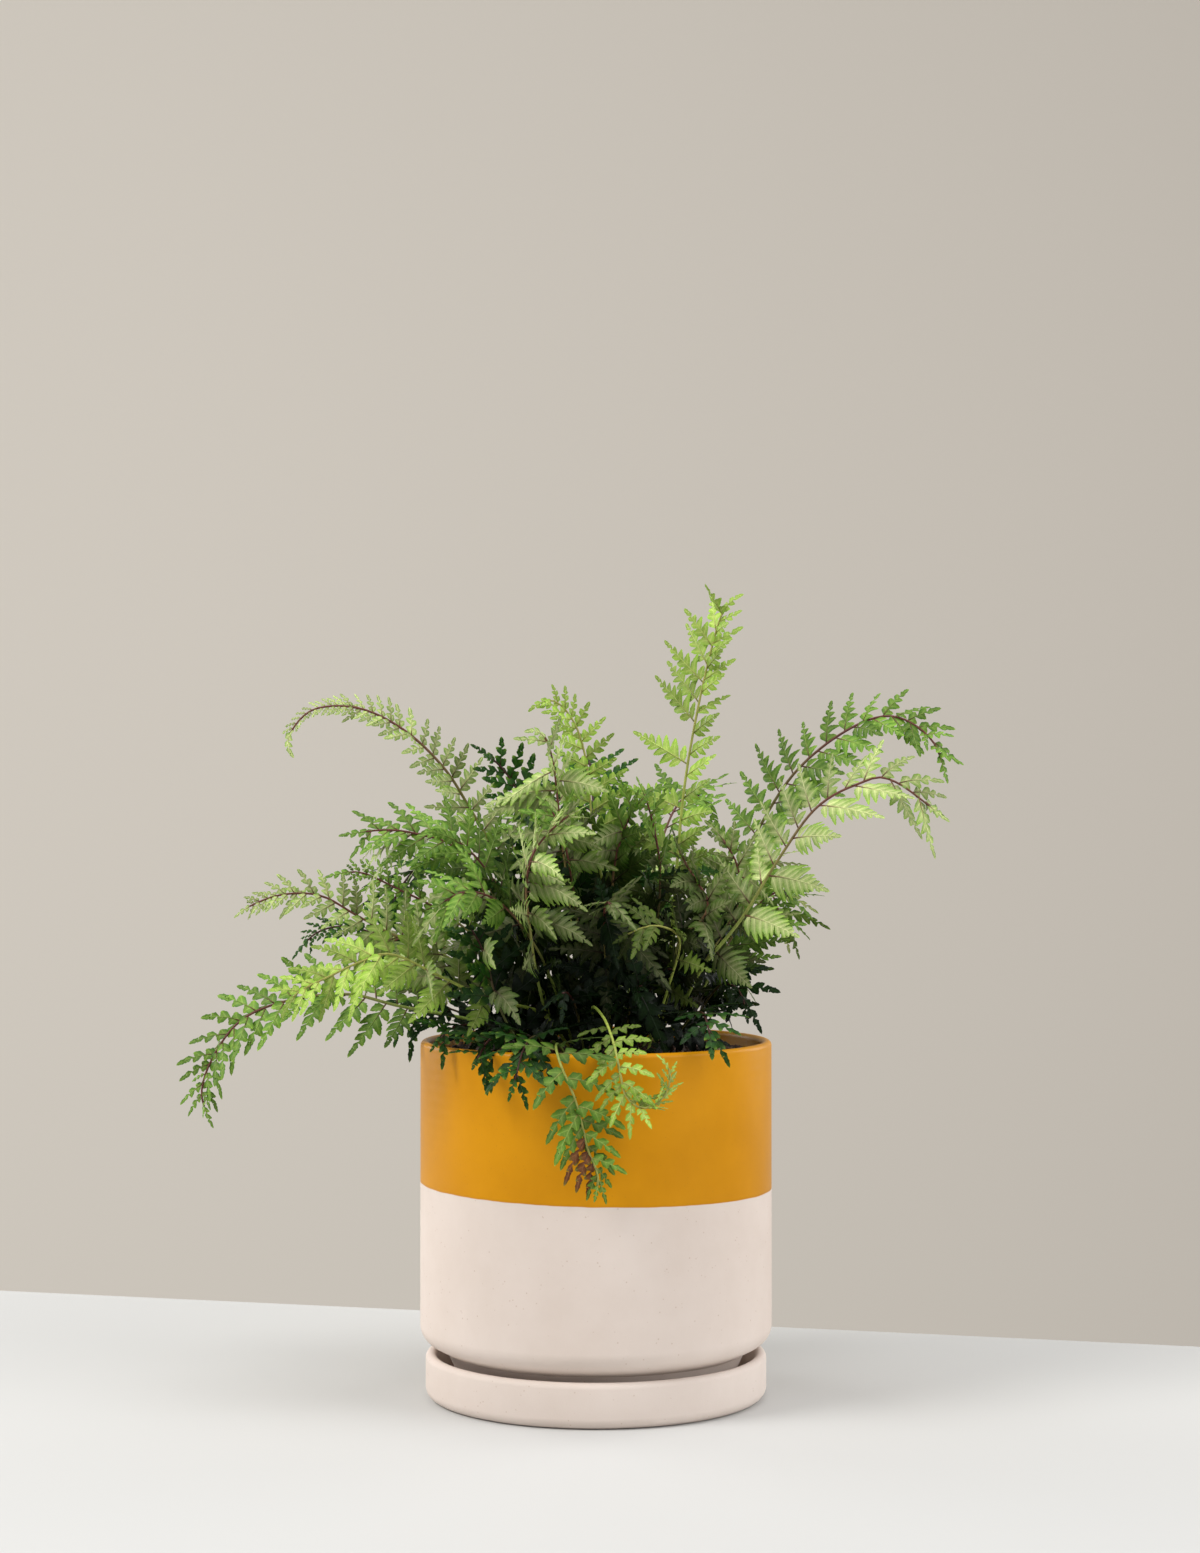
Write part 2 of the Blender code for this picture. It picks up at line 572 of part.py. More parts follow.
def place_ribs(fronds, space):
    """Each frond's rib, its middle moved in depth where it would meet another."""
    ribs = []
    for frond in fronds:
        for shift in DEPTH_SHIFTS:
            rib = Rib(frond, shift * MM)
            stalk_space, tip_space = tube(rib, STALK_CLEARANCE), envelope(tip_pinna(rib), CLEARANCE)
            if space.is_clear(*stalk_space) and space.is_clear(*tip_space):
                break
        space.add(*tube(rib, 0))
        space.add(*envelope(tip_pinna(rib), 0))
        ribs.append(rib)
    return ribs


def pinna_stations(rib):
    """Lengths along the rib where its pairs of pinnae stand, closer towards the tip."""
    bare = rib.frond.bare * rib.length
    shares = [pair / (rib.frond.pairs + 0.4) for pair in range(rib.frond.pairs)]
    return [bare + (rib.length - bare) * (1 - (1 - share) ** PAIR_CROWDING) for share in shares]


def stagger(rib, pair):
    """How far a pair's left pinna stands past its station, and its right one before it."""
    return STAGGER * (rib.length - pinna_stations(rib)[pair]) / (rib.frond.pairs - pair + 0.5)


def stalk_end(rib):
    """Length along the rib where its bare stalk ends, just before its first pair."""
    return pinna_stations(rib)[0] - stagger(rib, 0) - 1.2 * PINNA_BASE


def tip_start(rib):
    """Length along the rib where its last blade begins, just past its last pair."""
    return pinna_stations(rib)[-1] + stagger(rib, rib.frond.pairs - 1) + 1.2 * PINNA_BASE


def tip_pinna(rib):
    """The blade that ends the frond, bent to meet the end of its route."""
    centre, forward, normal, _ = rib.frame(tip_start(rib))
    length = rib.length - tip_start(rib)
    bend = (rib.points[-1] - centre - forward * length) / length
    return Pinna(centre, forward, normal, bend, length)


def pinna_length(rib, at, side):
    """Length of the pinna on one side (1 for left): full low on the leafy part, and less at the tip."""
    share = (at - rib.frond.bare * rib.length) / (rib.length * (1 - rib.frond.bare))
    full = rib.frond.longest * MM * (rib.frond.left if side == 1 else rib.frond.right)
    return max(full * (1 - share) ** rib.frond.taper * min(1, 0.85 + share), LEAST_PINNA)


# What is tried for a pinna in turn: more lift and more lean towards the tip, in degrees, and at each of these
# a share of its length
TRIED_TURNS = [(0, 0), (14, 0), (-14, 0), (26, 8), (-26, 8), (38, 16), (-38, 16), (10, 28), (44, 24),
               (-52, 24), (0, -14), (-64, 30)]
TRIED_SIZES = (1, 0.8, 0.6, 0.45)
TRIES = [(lift, lean, size) for size in TRIED_SIZES for lift, lean in TRIED_TURNS]


def try_pinna(rib, at, side, chance, change):
    """The pinna at a length along the rib, on its left (1) or right (-1), changed by one of the tries."""
    centre, forward, normal, left = rib.frame(at)
    share = (at / rib.length - rib.frond.bare) / (1 - rib.frond.bare)
    lift, lean, size = change
    length = pinna_length(rib, at, side) * (1 + LENGTH_SPREAD * chance[4]) * size
    angle = PINNA_ANGLE - PINNA_ANGLE_CLOSING * share + chance[0] * ANGLE_SPREAD - lean
    angle = math.radians(max(angle, LEAST_ANGLES[lobe_pairs(length)]))
    raised = PINNA_RAISE + chance[1] * RAISE_SPREAD + lift
    raised = math.radians(max(-MOST_RAISE, min(raised, MOST_RAISE)))
    outward = left * side
    flat = forward * math.cos(angle) + outward * math.sin(angle)
    along = flat * math.cos(raised) + normal * math.sin(raised)
    upright = normal * math.cos(raised) - flat * math.sin(raised)
    upright = Matrix.Rotation(math.radians(chance[2] * TWIST_SPREAD), 3, along) @ upright
    bend = forward * PINNA_SWEEP - Vector((0, 0, PINNA_SAG + SAG_SPREAD * chance[3]))
    base = centre + outward * rib.half_width(at)
    return Pinna(base, along, upright, bend, length)


def place_pinnae(ribs, first_rib, space):
    """Each rib's pinnae as (station, side, length along the rib, pinna), clear of all placed before them."""
    foliage = []
    for number, rib in enumerate(ribs):
        draw = random.Random(rib.frond.name)
        placed = []
        for station, at in enumerate(pinna_stations(rib)):
            for side in (1, -1):
                chance = [draw.uniform(-1, 1) for _ in range(5)]
                offset = side * stagger(rib, station)
                for change in TRIES:
                    pinna = try_pinna(rib, at + offset, side, chance, change)
                    if space.is_clear(*envelope(pinna, CLEARANCE), leave_out=(first_rib + 2 * number,)):
                        space.add(*envelope(pinna, 0))
                        placed.append((station, side, at + offset, pinna))
                        break
        foliage.append(placed)
    return foliage


class Skin:
    """Points and triangles of one closed body, whose top and underside are split alike."""

    def __init__(self):
        self.points = []
        self.triangles = []

    def point(self, place):
        self.points.append(place)
        return len(self.points) - 1

    def quad(self, a, b, c, d):
        self.triangles += [(a, b, c), (a, c, d)]

    def faces(self, top, under, corners):
        """The same triangles on the top and, turned over, on the underside."""
        for a, b, c in corners:
            self.triangles += [(top[a], top[b], top[c]), (under[c], under[b], under[a])]

    def wall(self, top, under, a, b):
        self.quad(under[a], under[b], top[b], top[a])


def blade_outline(pinna):
    """A blade cut to its rib: its points (u, v) past the two of its base, its triangles and its edge.

    Points 0 and 1 are the base's left and right, which belong to the rib. The edge runs from 1 round to 0.
    """
    lobes = lobe_pairs(pinna.length)
    cuts = [pinna.length * (i / (lobes + 1)) ** 0.92 for i in range(lobes + 1)]
    points, triangles, right_edge, left_edge = [], [], [1], [0]
    left, right = 0, 1
    for start, end in zip(cuts, cuts[1:]):
        beside = max(CUT_LEAVES, pinna.half_width(end) * (CUT_FLOOR + CUT_RISE * end / pinna.length))
        tip = start + (end - start) * LOBE_LEAN
        reach = pinna.half_width(tip) * LOBE_REACH
        points += [(end, beside), (end, -beside), (tip, reach), (tip, -reach)]
        next_left = len(points) - 2
        next_right, left_tip, right_tip = next_left + 1, next_left + 2, next_left + 3
        triangles += [(left, right, next_right), (left, next_right, next_left)]
        triangles += [(left, next_left, left_tip), (next_right, right, right_tip)]
        right_edge += [right_tip, next_right]
        left_edge += [left_tip, next_left]
        left, right = next_left, next_right
    apex = len(points) + 2
    points.append((pinna.length, 0))
    triangles.append((left, right, apex))
    if lobes == 0:
        shoulder = 0.4 * pinna.length
        reach = pinna.half_width(shoulder)
        points += [(shoulder, reach), (shoulder, -reach)]
        triangles += [(left, apex, apex + 1), (right, apex + 2, apex)]
        right_edge.append(apex + 2)
        left_edge.append(apex + 1)
    return points, triangles, right_edge + [apex] + left_edge[::-1]


def grow_blade(skin, pinna, base_top, base_under):
    """Grows a pinna from two points (left, right) on the top and two on the underside of what carries it."""
    outline, triangles, edge = blade_outline(pinna)
    top = [*base_top, *(skin.point(pinna.place(u, v, BLADE_THICKNESS / 2)) for u, v in outline)]
    under = [*base_under, *(skin.point(pinna.place(u, v, -BLADE_THICKNESS / 2)) for u, v in outline)]
    skin.faces(top, under, triangles)
    for a, b in zip(edge, edge[1:]):
        skin.wall(top, under, a, b)


def rib_stations(rib, placed):
    """The rib's rings as (length on its left, on its right), and the rings where stations start."""
    bare = stalk_end(rib) - STEM_DEPTH
    count = max(LEAST_STALK_RINGS, round(bare / STALK_RING_EVERY))
    rings = [(0, 0)]
    for step in range(count + 1):
        at = STEM_DEPTH + bare * step / count
        rings.append((at, at))
    owners = []
    for station in sorted({station for station, _, _, _ in placed}):
        sides = {side: at for number, side, at, _ in placed if number == station}
        middle = sum(sides.values()) / len(sides)
        left, right = sides.get(1, middle), sides.get(-1, middle)
        owners.append((len(rings), station))
        for beside in (-PINNA_BASE / 2, PINNA_BASE / 2):
            rings.append((left + beside, right + beside))
    end = tip_start(rib)
    rings.append((end, end))
    return rings, dict(owners)


def build_frond(rib, placed):
    """One closed body: a rib with a flat top and a keel, and the pinnae that grow from its edges."""
    skin = Skin()
    rings, owners = rib_stations(rib, placed)
    left_edge = [rib_edge(skin, rib, left, 1) for left, _ in rings]
    right_edge = [rib_edge(skin, rib, right, -1) for _, right in rings]
    keel = [rib_edge(skin, rib, (left + right) / 2, 0) for left, right in rings]
    skin.triangles.append((left_edge[0], keel[0], right_edge[0]))
    pinna_at = {(station, side): pinna for station, side, _, pinna in placed}
    for ring in range(len(rings) - 1):
        after = ring + 1
        skin.quad(left_edge[ring], right_edge[ring], right_edge[after], left_edge[after])
        left = pinna_at.get((owners.get(ring), 1))
        right = pinna_at.get((owners.get(ring), -1))
        if left:
            grow_blade(skin, left, (left_edge[ring], left_edge[after]), (keel[ring], keel[after]))
        else:
            skin.quad(keel[after], keel[ring], left_edge[ring], left_edge[after])
        if right:
            grow_blade(skin, right, (right_edge[after], right_edge[ring]), (keel[after], keel[ring]))
        else:
            skin.quad(keel[ring], keel[after], right_edge[after], right_edge[ring])
    grow_blade(skin, tip_pinna(rib), (left_edge[-1], right_edge[-1]), (keel[-1], keel[-1]))
    return skin


def rib_edge(skin, rib, at, side_way):
    """A point on the rib's left (1) or right (-1) edge, or on its keel (0)."""
    centre, _, normal, side = rib.frame(at)
    reach = rib.half_width(at)
    if side_way == 0:
        return skin.point(centre - normal * reach * KEEL)
    return skin.point(centre + side * reach * side_way + normal * reach * RIB_TOP)


def frond_object(rib, placed):
    skin = build_frond(rib, placed)
    mesh = bpy.data.meshes.new(rib.frond.name)
    mesh.from_pydata(skin.points, [], skin.triangles)
    mesh.update()
    material = plain_material(rib.frond.name, TONES[rib.frond.tone], LEAF_ROUGHNESS)
    return add_object(rib.frond.name, mesh, material)


def build():
    clear_scene()
    fronds = [frond._replace(route=[from_view(*point) for point in frond.route]) for frond in SEEN_FRONDS]
    fronds += [hidden_frond(number, row) for number, row in enumerate(HIDDEN_FRONDS)]
    build_saucer()
    pot = build_pot()
    space = Space()
    add_solid_to_space(space, pot)
    first_rib = len(space.taken)
    ribs = place_ribs(fronds, space)
    add_solid_to_space(space, build_soil(ribs))
    foliage = place_pinnae(ribs, first_rib, space)
    for rib, placed in zip(ribs, foliage):
        frond_object(rib, placed)


build()
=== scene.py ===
"""Looks of the potted Japanese painted fern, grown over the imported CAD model.

Metres, +Z up. The fronds are placed by the same rule as the CAD nodes that they replace, and then grown
finer: a round rib, and on each pinna its toothed leaflets. More pinnae and some hanging leaves are added
where there is room. The pot, the saucer and the potting mix are turned again with more steps.
"""

import math
import random
from collections import namedtuple

import bpy
import numpy as np
from mathutils import Matrix, Vector, noise
from mathutils.bvhtree import BVHTree

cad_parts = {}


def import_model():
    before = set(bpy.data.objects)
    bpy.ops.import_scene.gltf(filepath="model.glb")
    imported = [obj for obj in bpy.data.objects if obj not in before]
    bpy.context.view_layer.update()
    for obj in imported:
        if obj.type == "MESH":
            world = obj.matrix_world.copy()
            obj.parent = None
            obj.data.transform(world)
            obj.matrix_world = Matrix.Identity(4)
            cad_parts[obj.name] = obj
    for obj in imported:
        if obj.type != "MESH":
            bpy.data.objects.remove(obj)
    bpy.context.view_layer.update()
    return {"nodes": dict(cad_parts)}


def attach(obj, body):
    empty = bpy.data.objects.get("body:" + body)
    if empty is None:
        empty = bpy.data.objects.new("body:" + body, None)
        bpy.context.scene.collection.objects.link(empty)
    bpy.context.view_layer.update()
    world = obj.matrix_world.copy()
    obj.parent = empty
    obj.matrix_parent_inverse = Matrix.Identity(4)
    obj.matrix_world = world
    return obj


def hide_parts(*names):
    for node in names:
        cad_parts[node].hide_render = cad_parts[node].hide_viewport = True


MM = 0.001
GAP = 0.3 * MM

# Saucer
SAUCER_RADIUS = 84.8 * MM
SAUCER_HEIGHT = 22 * MM
SAUCER_WALL = 5.8 * MM
SAUCER_FLOOR = 5 * MM
SAUCER_CORNER = 5.3 * MM
SAUCER_COVE = 3 * MM

# Pot, with its heights measured from the surface that the saucer stands on
POT_RADIUS = 87.5 * MM
POT_TOP = 176.5 * MM
POT_WALL = 4.6 * MM
POT_FLOOR = 6.2 * MM
POT_CORNER = 10 * MM
POT_CORNER_TOP = 36 * MM
POT_CORNER_TURN = 62
FOOT_TOP_RADIUS = 74.4 * MM
FOOT_TOP = 23 * MM
FOOT_RADIUS = 66 * MM
POT_BOTTOM = SAUCER_FLOOR + GAP
DRAIN_RADIUS = 7 * MM
GLAZE_LINE = 105 * MM  # height of the glaze's lower edge at the pot's axis
GLAZE_SLANT = -0.019  # what the line gains to the right

# Potting mix
SOIL_EDGE = 169 * MM
SOIL_MOUND = 4 * MM
SOIL_GAP = 0.5 * MM
STEM_DEPTH = 12 * MM
CHIPS = 1100  # loose bits of bark and fibre on top

TURNED_STEPS = 128
SHARP_ANGLE = 35  # a wider turn than this is a sharp edge, in degrees

# Ribs: a stalk and its midrib
ROOT_HALF_WIDTH = 0.5 * MM  # at the root of a rib with no length
ROOT_HALF_WIDTH_GAIN = 0.0034  # what each metre of the rib's length adds to it
TIP_HALF_WIDTH = 0.55 * MM
FOOT_RISE = 2 * MM  # how far the straight foot stands out of the potting mix
CURVE_STEPS = 6  # between two points of a route
PAIR_CROWDING = 1.25  # over 1, the pairs of pinnae stand closer towards the tip
STAGGER = 0.16  # of the space between two pairs, by which the two sides stand apart

# Pinnae: the blades on a rib, placed as those of the CAD nodes are
BLADE_THICKNESS = 0.7 * MM
PINNA_HALF_WIDTH = 0.23  # of its length
PINNA_FOOT_WIDTH = 0.45  # of that, at its foot
PINNA_WIDENING = 4  # how soon it reaches its full width
PINNA_NARROWING = 0.7  # power by which it narrows to its tip
PINNA_BASE = 1.9 * MM
LEAST_PINNA = 5 * MM
PINNA_ANGLE = 76  # between a pinna and its rib at the foot of the leafy part, in degrees
PINNA_ANGLE_CLOSING = 34  # how far that closes at the tip
PINNA_RAISE = 14  # lift out of the rib's plane, in degrees
MOST_RAISE = 44  # a steeper pinna would cross its own rib
PINNA_SAG = 0.16  # fall of its end, as a share of its length
PINNA_SWEEP = 0.10  # turn of its end towards the tip, likewise
LOBED_LENGTHS = (17 * MM, 34 * MM, 54 * MM)  # past each, a CAD blade has one more pair of lobes
LEAST_ANGLES = (30, 30, 42, 52)  # to its rib, by its pairs of lobes, so that those clear the rib
LOBE_REACH = 1.15  # of the pinna's half width there
EDGE_DROOP = 0.3  # fall of a leaflet's tip, as a share of its reach

# Half the spread of what is drawn by chance for each pinna
ANGLE_SPREAD = 5
RAISE_SPREAD = 7
TWIST_SPREAD = 14
SAG_SPREAD = 0.07
LENGTH_SPREAD = 0.09
CHANCES = 5

# Space kept round each piece of foliage
ENVELOPE_SHARES = (0.05, 0.3, 0.55, 0.78, 1)  # of a pinna's length, where its space is measured
ENVELOPE_REACH = LOBE_REACH + 0.05
BLUNT_END = 0.97  # the share of its length from which a pinna's space keeps its width
CLEARANCE = 0.35 * MM  # between the foliage of different fronds
STALK_CLEARANCE = 0.8 * MM
TUBE_START = 1.5 * STEM_DEPTH  # length along a rib where its space begins, clear of its hole
TUBE_STEP = 6 * MM

# The photograph's eye point, in millimetres from the pot's axis and above the surface
EYE_DISTANCE = 1400
EYE_HEIGHT = 291.4
CAMERA_LENS = 64.9  # on a sensor 36 mm tall
CAMERA_SENSOR = 36
CAMERA_TURN = 90.67  # from looking straight down, in degrees
CAMERA_SHIFT = 4 / 1553  # of the picture's height

# A frond's route runs from its root to its tip. Each point is its place across, its depth behind the
# pot's axis and its height, in millimetres, as seen in the photograph in the plane through the pot's axis.
# bare is the share of the route with no pinnae, longest is the longest pinna in millimetres, taper is how
# soon they shorten towards the tip, and roll turns the upper face, in degrees. left and right are each
# side's share of the full length.
Frond = namedtuple("Frond", "name tone pairs bare longest taper roll route left right", defaults=(1, 1))

SEEN_FRONDS = [
    Frond("frond_tall", "lime", 8, 0.33, 40, 0.32, 55,
          [(33, 8, 172), (36, 10, 203), (40, 12, 257), (44, 14, 301), (51, 14, 342), (60, 12, 380),
           (66, 8, 394), (74, 4, 399)], left=1.15, right=0.7),
    Frond("frond_right_arch", "green", 8, 0.38, 36, 0.45, 45,
          [(30, 26, 172), (46, 32, 216), (62, 34, 246), (77, 34, 274), (98, 31, 308), (124, 26, 330),
           (148, 20, 338), (168, 12, 326), (176, 6, 304)], right=1.2),
    Frond("frond_right_silver", "silver", 8, 0.32, 42, 0.35, 50,
          [(36, -8, 172), (43, -16, 192), (53, -24, 212), (73, -32, 237), (91, -36, 266),
           (110, -38, 292), (131, -40, 304), (148, -40, 306), (177, -38, 285)], left=0.9, right=1.25),
    Frond("frond_right_low", "silver", 5, 0.4, 40, 0.6, 55,
          [(30, -18, 172), (37, -24, 204), (42, -28, 227), (52, -30, 235), (56, -30, 245),
           (50, -28, 256), (43, -25, 268), (38, -22, 282)]),
    Frond("frond_left_arch", "silver", 8, 0.4, 30, 1, -50,
          [(-14, 24, 172), (-26, 30, 215), (-40, 34, 252), (-62, 34, 290), (-76, 32, 312),
           (-96, 28, 331), (-119, 24, 342), (-142, 20, 341), (-154, 16, 327), (-151, 14, 317)]),
    Frond("frond_left_middle", "green", 6, 0.35, 44, 0.5, -50,
          [(-20, 8, 172), (-34, 4, 215), (-52, 0, 250), (-70, -4, 272), (-89, -8, 279),
           (-107, -10, 281), (-129, -12, 278)]),
    Frond("frond_left_long", "silver", 7, 0.46, 30, 0.7, -55,
          [(-25, 20, 172), (-48, 28, 200), (-75, 32, 218), (-98, 32, 227), (-119, 30, 238),
           (-137, 28, 248), (-155, 26, 249), (-171, 24, 244), (-181, 22, 237)]),
    Frond("frond_left_small", "green", 5, 0.5, 26, 0.7, -55,
          [(-12, 36, 172), (-40, 50, 208), (-72, 56, 237), (-100, 56, 252), (-119, 54, 260),
           (-136, 50, 257)]),
    Frond("frond_left_dark", "dark", 5, 0.5, 26, 0.7, -45,
          [(-10, 45, 172), (-46, 64, 197), (-90, 72, 220), (-120, 72, 232), (-139, 68, 230),
           (-152, 62, 216)]),
    Frond("frond_left_droop", "green", 8, 0.36, 34, 0.55, -50,
          [(-29, 0, 172), (-62, -8, 186), (-98, -12, 193), (-124, -12, 199), (-153, -12, 196),
           (-176, -14, 187), (-190, -16, 170), (-197, -18, 150), (-191, -20, 132)]),
    Frond("frond_left_lime", "lime", 7, 0.38, 38, 0.55, -55,
          [(-14, -18, 172), (-28, -34, 190), (-52, -46, 196), (-78, -54, 208), (-102, -60, 219),
           (-118, -62, 215), (-133, -64, 208), (-150, -64, 199), (-157, -62, 186)]),
    Frond("frond_front_left", "dark", 4, 0.3, 36, 0.5, -65,
          [(-33, -52, 170), (-43, -56, 182), (-50, -58, 197), (-54, -58, 213), (-60, -56, 228),
           (-70, -54, 240)]),
    Frond("frond_centre_front", "silver", 6, 0.34, 50, 0.6, 75,
          [(-20, -30, 171), (-25, -42, 189), (-30, -52, 210), (-33, -60, 232), (-35, -64, 252),
           (-31, -66, 270), (-18, -66, 285), (-3, -64, 294)]),
    Frond("frond_top_light", "lime", 7, 0.42, 34, 0.6, -72,
          [(4, 4, 173), (4, 8, 246), (0, 10, 270), (-3, 12, 296), (-5, 12, 316), (-11, 11, 335),
           (-22, 8, 346), (-34, 4, 340)]),
    Frond("frond_top_silver", "silver", 6, 0.36, 44, 0.5, -68,
          [(-7, -5, 173), (-12, -12, 236), (-18, -18, 284), (-21, -22, 312), (-26, -28, 328),
           (-36, -36, 330)]),
    Frond("frond_top_dark", "dark", 6, 0.38, 40, 0.5, -55,
          [(-7, 14, 173), (-16, 20, 230), (-28, 24, 278), (-40, 24, 302), (-50, 22, 315),
           (-63, 18, 324)]),
    Frond("frond_centre_right", "green", 5, 0.34, 46, 0.5, 72,
          [(13, -4, 173), (9, -10, 235), (9, -14, 262), (17, -20, 288), (28, -24, 301),
           (40, -26, 303)]),
    Frond("frond_centre_low", "silver", 4, 0.42, 38, 0.5, 20,
          [(8, -22, 172), (5, -38, 212), (4, -52, 238), (6, -66, 245), (10, -80, 236)]),
    Frond("frond_right_lime", "lime", 5, 0.42, 34, 0.5, -50,
          [(26, -31, 172), (37, -44, 205), (42, -52, 226), (32, -60, 233), (20, -64, 231),
           (8, -66, 224)]),
    Frond("frond_front_droop", "green", 7, 0.34, 30, 0.45, 0,
          [(-16, -46, 171), (-19, -68, 174), (-20, -88, 172), (-17, -99, 162), (-11, -101, 148),
           (-7, -100, 134), (-4, -99, 121), (1, -98, 108), (-1, -99, 95)]),
    Frond("frond_front_curl", "lime", 6, 0.48, 19, 0.5, 30,
          [(2, -34, 172), (-2, -48, 192), (4, -70, 187), (9, -90, 174), (12, -101, 160),
           (15, -102, 148), (24, -103, 142), (34, -104, 148), (37, -104, 160), (30, -104, 169)]),
    Frond("frond_low_left", "dark", 3, 0.35, 32, 0.5, -35,
          [(-32, 11, 172), (-58, 8, 186), (-80, 4, 193), (-94, 0, 186), (-101, -4, 172)]),
    Frond("frond_rim_left", "dark", 4, 0.35, 34, 0.5, -25,
          [(-34, -14, 171), (-55, -34, 183), (-72, -52, 182), (-83, -64, 170)]),
    Frond("frond_rim_front", "dark", 4, 0.35, 34, 0.5, -10,
          [(-29, -34, 171), (-42, -58, 180), (-54, -80, 175), (-62, -93, 161)]),
    Frond("frond_rim_middle", "dark", 4, 0.35, 32, 0.5, 0,
          [(-24, -44, 171), (-30, -68, 178), (-36, -90, 172), (-40, -101, 158), (-44, -104, 145)]),
    Frond("frond_rim_right", "dark", 3, 0.35, 28, 0.5, 10,
          [(36, -30, 171), (46, -50, 186), (53, -66, 190), (57, -82, 178), (58, -92, 166)]),
    Frond("frond_low_right", "dark", 4, 0.3, 34, 0.5, 35,
          [(43, 1, 171), (53, -8, 192), (63, -16, 204), (72, -24, 200), (76, -32, 184)]),
    Frond("frond_bush_left", "green", 6, 0.28, 52, 0.5, -55,
          [(-20, -7, 172), (-34, -16, 225), (-54, -24, 260), (-72, -30, 277), (-90, -34, 278)]),
    Frond("frond_bush_front", "green", 6, 0.28, 52, 0.5, -50,
          [(-11, -25, 172), (-26, -44, 215), (-46, -60, 243), (-66, -72, 250), (-86, -78, 238)]),
    Frond("frond_bush_middle", "green", 6, 0.3, 50, 0.5, -72,
          [(0, -13, 173), (-8, -30, 225), (-13, -42, 262), (-20, -50, 287), (-30, -56, 298)]),
    Frond("frond_bush_right", "green", 6, 0.3, 48, 0.5, 68,
          [(22, 3, 173), (29, -4, 220), (32, -10, 260), (27, -16, 290), (20, -22, 308)]),
    Frond("frond_wine", "silver", 5, 0.36, 44, 0.5, 55,
          [(24, -9, 172), (54, -6, 215), (71, -4, 244), (71, -2, 262), (63, 0, 277), (54, 2, 286)]),
    Frond("frond_inner_left", "dark", 4, 0.3, 34, 0.5, -20,
          [(-6, -42, 171), (-10, -54, 192), (-15, -68, 200), (-20, -80, 196)]),
    Frond("frond_inner_middle", "dark", 4, 0.3, 34, 0.5, 15,
          [(14, -42, 171), (17, -52, 192), (21, -66, 203), (26, -78, 200)]),
    Frond("frond_inner_right", "dark", 4, 0.3, 34, 0.5, 35,
          [(20, -16, 172), (26, -26, 198), (35, -38, 211), (45, -48, 208)]),
    Frond("frond_right_back", "green", 6, 0.34, 44, 0.5, 45,
          [(41, 19, 171), (58, 28, 210), (74, 34, 236), (90, 36, 250), (106, 34, 250)]),
]

# Fronds that the photograph hides, in each row: root across and depth, azimuth of the arch, its reach,
# the height of its top, and how far its tip hangs below that, in millimetres and degrees.
HIDDEN_FRONDS = [
    (12, 34, 60, 110, 300, 20),
    (24, 40, 50, 128, 262, 50),
    (2, 25, 96, 78, 318, 6),
    (-2, 56, 114, 124, 284, 38),
    (10, 48, 80, 136, 258, 62),
    (-20, 34, 140, 128, 262, 44),
    (36, 32, 32, 84, 246, 34),
    (-30, 28, 158, 104, 225, 30),
]
HIDDEN_TONES = ("green", "silver", "dark")
HIDDEN_PAIRS = 4
HIDDEN_BARE = 0.32
HIDDEN_LONGEST = 48
HIDDEN_TAPER = 0.5
ARCH = ((0.28, 0.60), (0.50, 0.90), (0.72, 1.0))  # share of an arch's reach, and of its rise there
ARCH_SHOULDER = (0.88, 0.35)  # likewise past its top, and of its drop there

# Tried for a rib in turn, in millimetres
DEPTH_SHIFTS = (0, 4, -4, 8, -8, 12, -12, 16, -16, 20, -20, 26, -26)

# Leaflets: the toothed parts of a pinna
LEAFLET_PITCH = 5.0 * MM  # between two pairs, at the foot of a fine pinna
LEAFLET_PAIRS = (3, 12)
LEAFLET_CROWDING = 1.25
LEAFLET_ANGLE = 56  # to the pinna's midrib, in degrees
LEAFLET_ANGLE_CLOSING = 20
LEAFLET_REACH = 1.62  # of the pinna's half width
DRAWN_OUT = 0.3  # how much more a pinna narrows towards its tip than its CAD blade
LEAFLET_FILL = 0.52  # its half width as a share of the space between two pairs
WIDEST = 0.5  # where a leaflet is widest, as a share of its length
WING_AT_TIP = 0.6  # share of a leaflet's length that is joined to its neighbours, at the pinna's tip
LEAST_STALKED = 28 * MM  # a longer pinna has its first pair of leaflets apart from the rest
TOOTH_LONG = 2.6 * MM  # a leaflet has one more tooth a side for each such length
TEETH = (2, 4)
NOTCH = 0.8  # the width left between two teeth, as a share of the leaflet's width
LEAFLET_FOOT = 0.86  # its width at its foot, as a share of its widest
LEAFLET_NARROWING = 0.62  # power by which it narrows to its tip
LEAFLET_BARE = 0.07  # of a pinna's length, before its first pair, and half a millimetre more
LEAFLET_STAGGER = 0.15  # of the space between two pairs
LEAFLET_JOINED = 0.52  # half its foot, and half its width where its joined part ends, of that space
LEAST_LEAFLET = 1.2 * MM
LEAST_HALF = 0.4 * MM
MOST_HALF = 0.46  # of its length
LEAFLET_END = 0.985  # of a pinna's length, past which no leaflet reaches

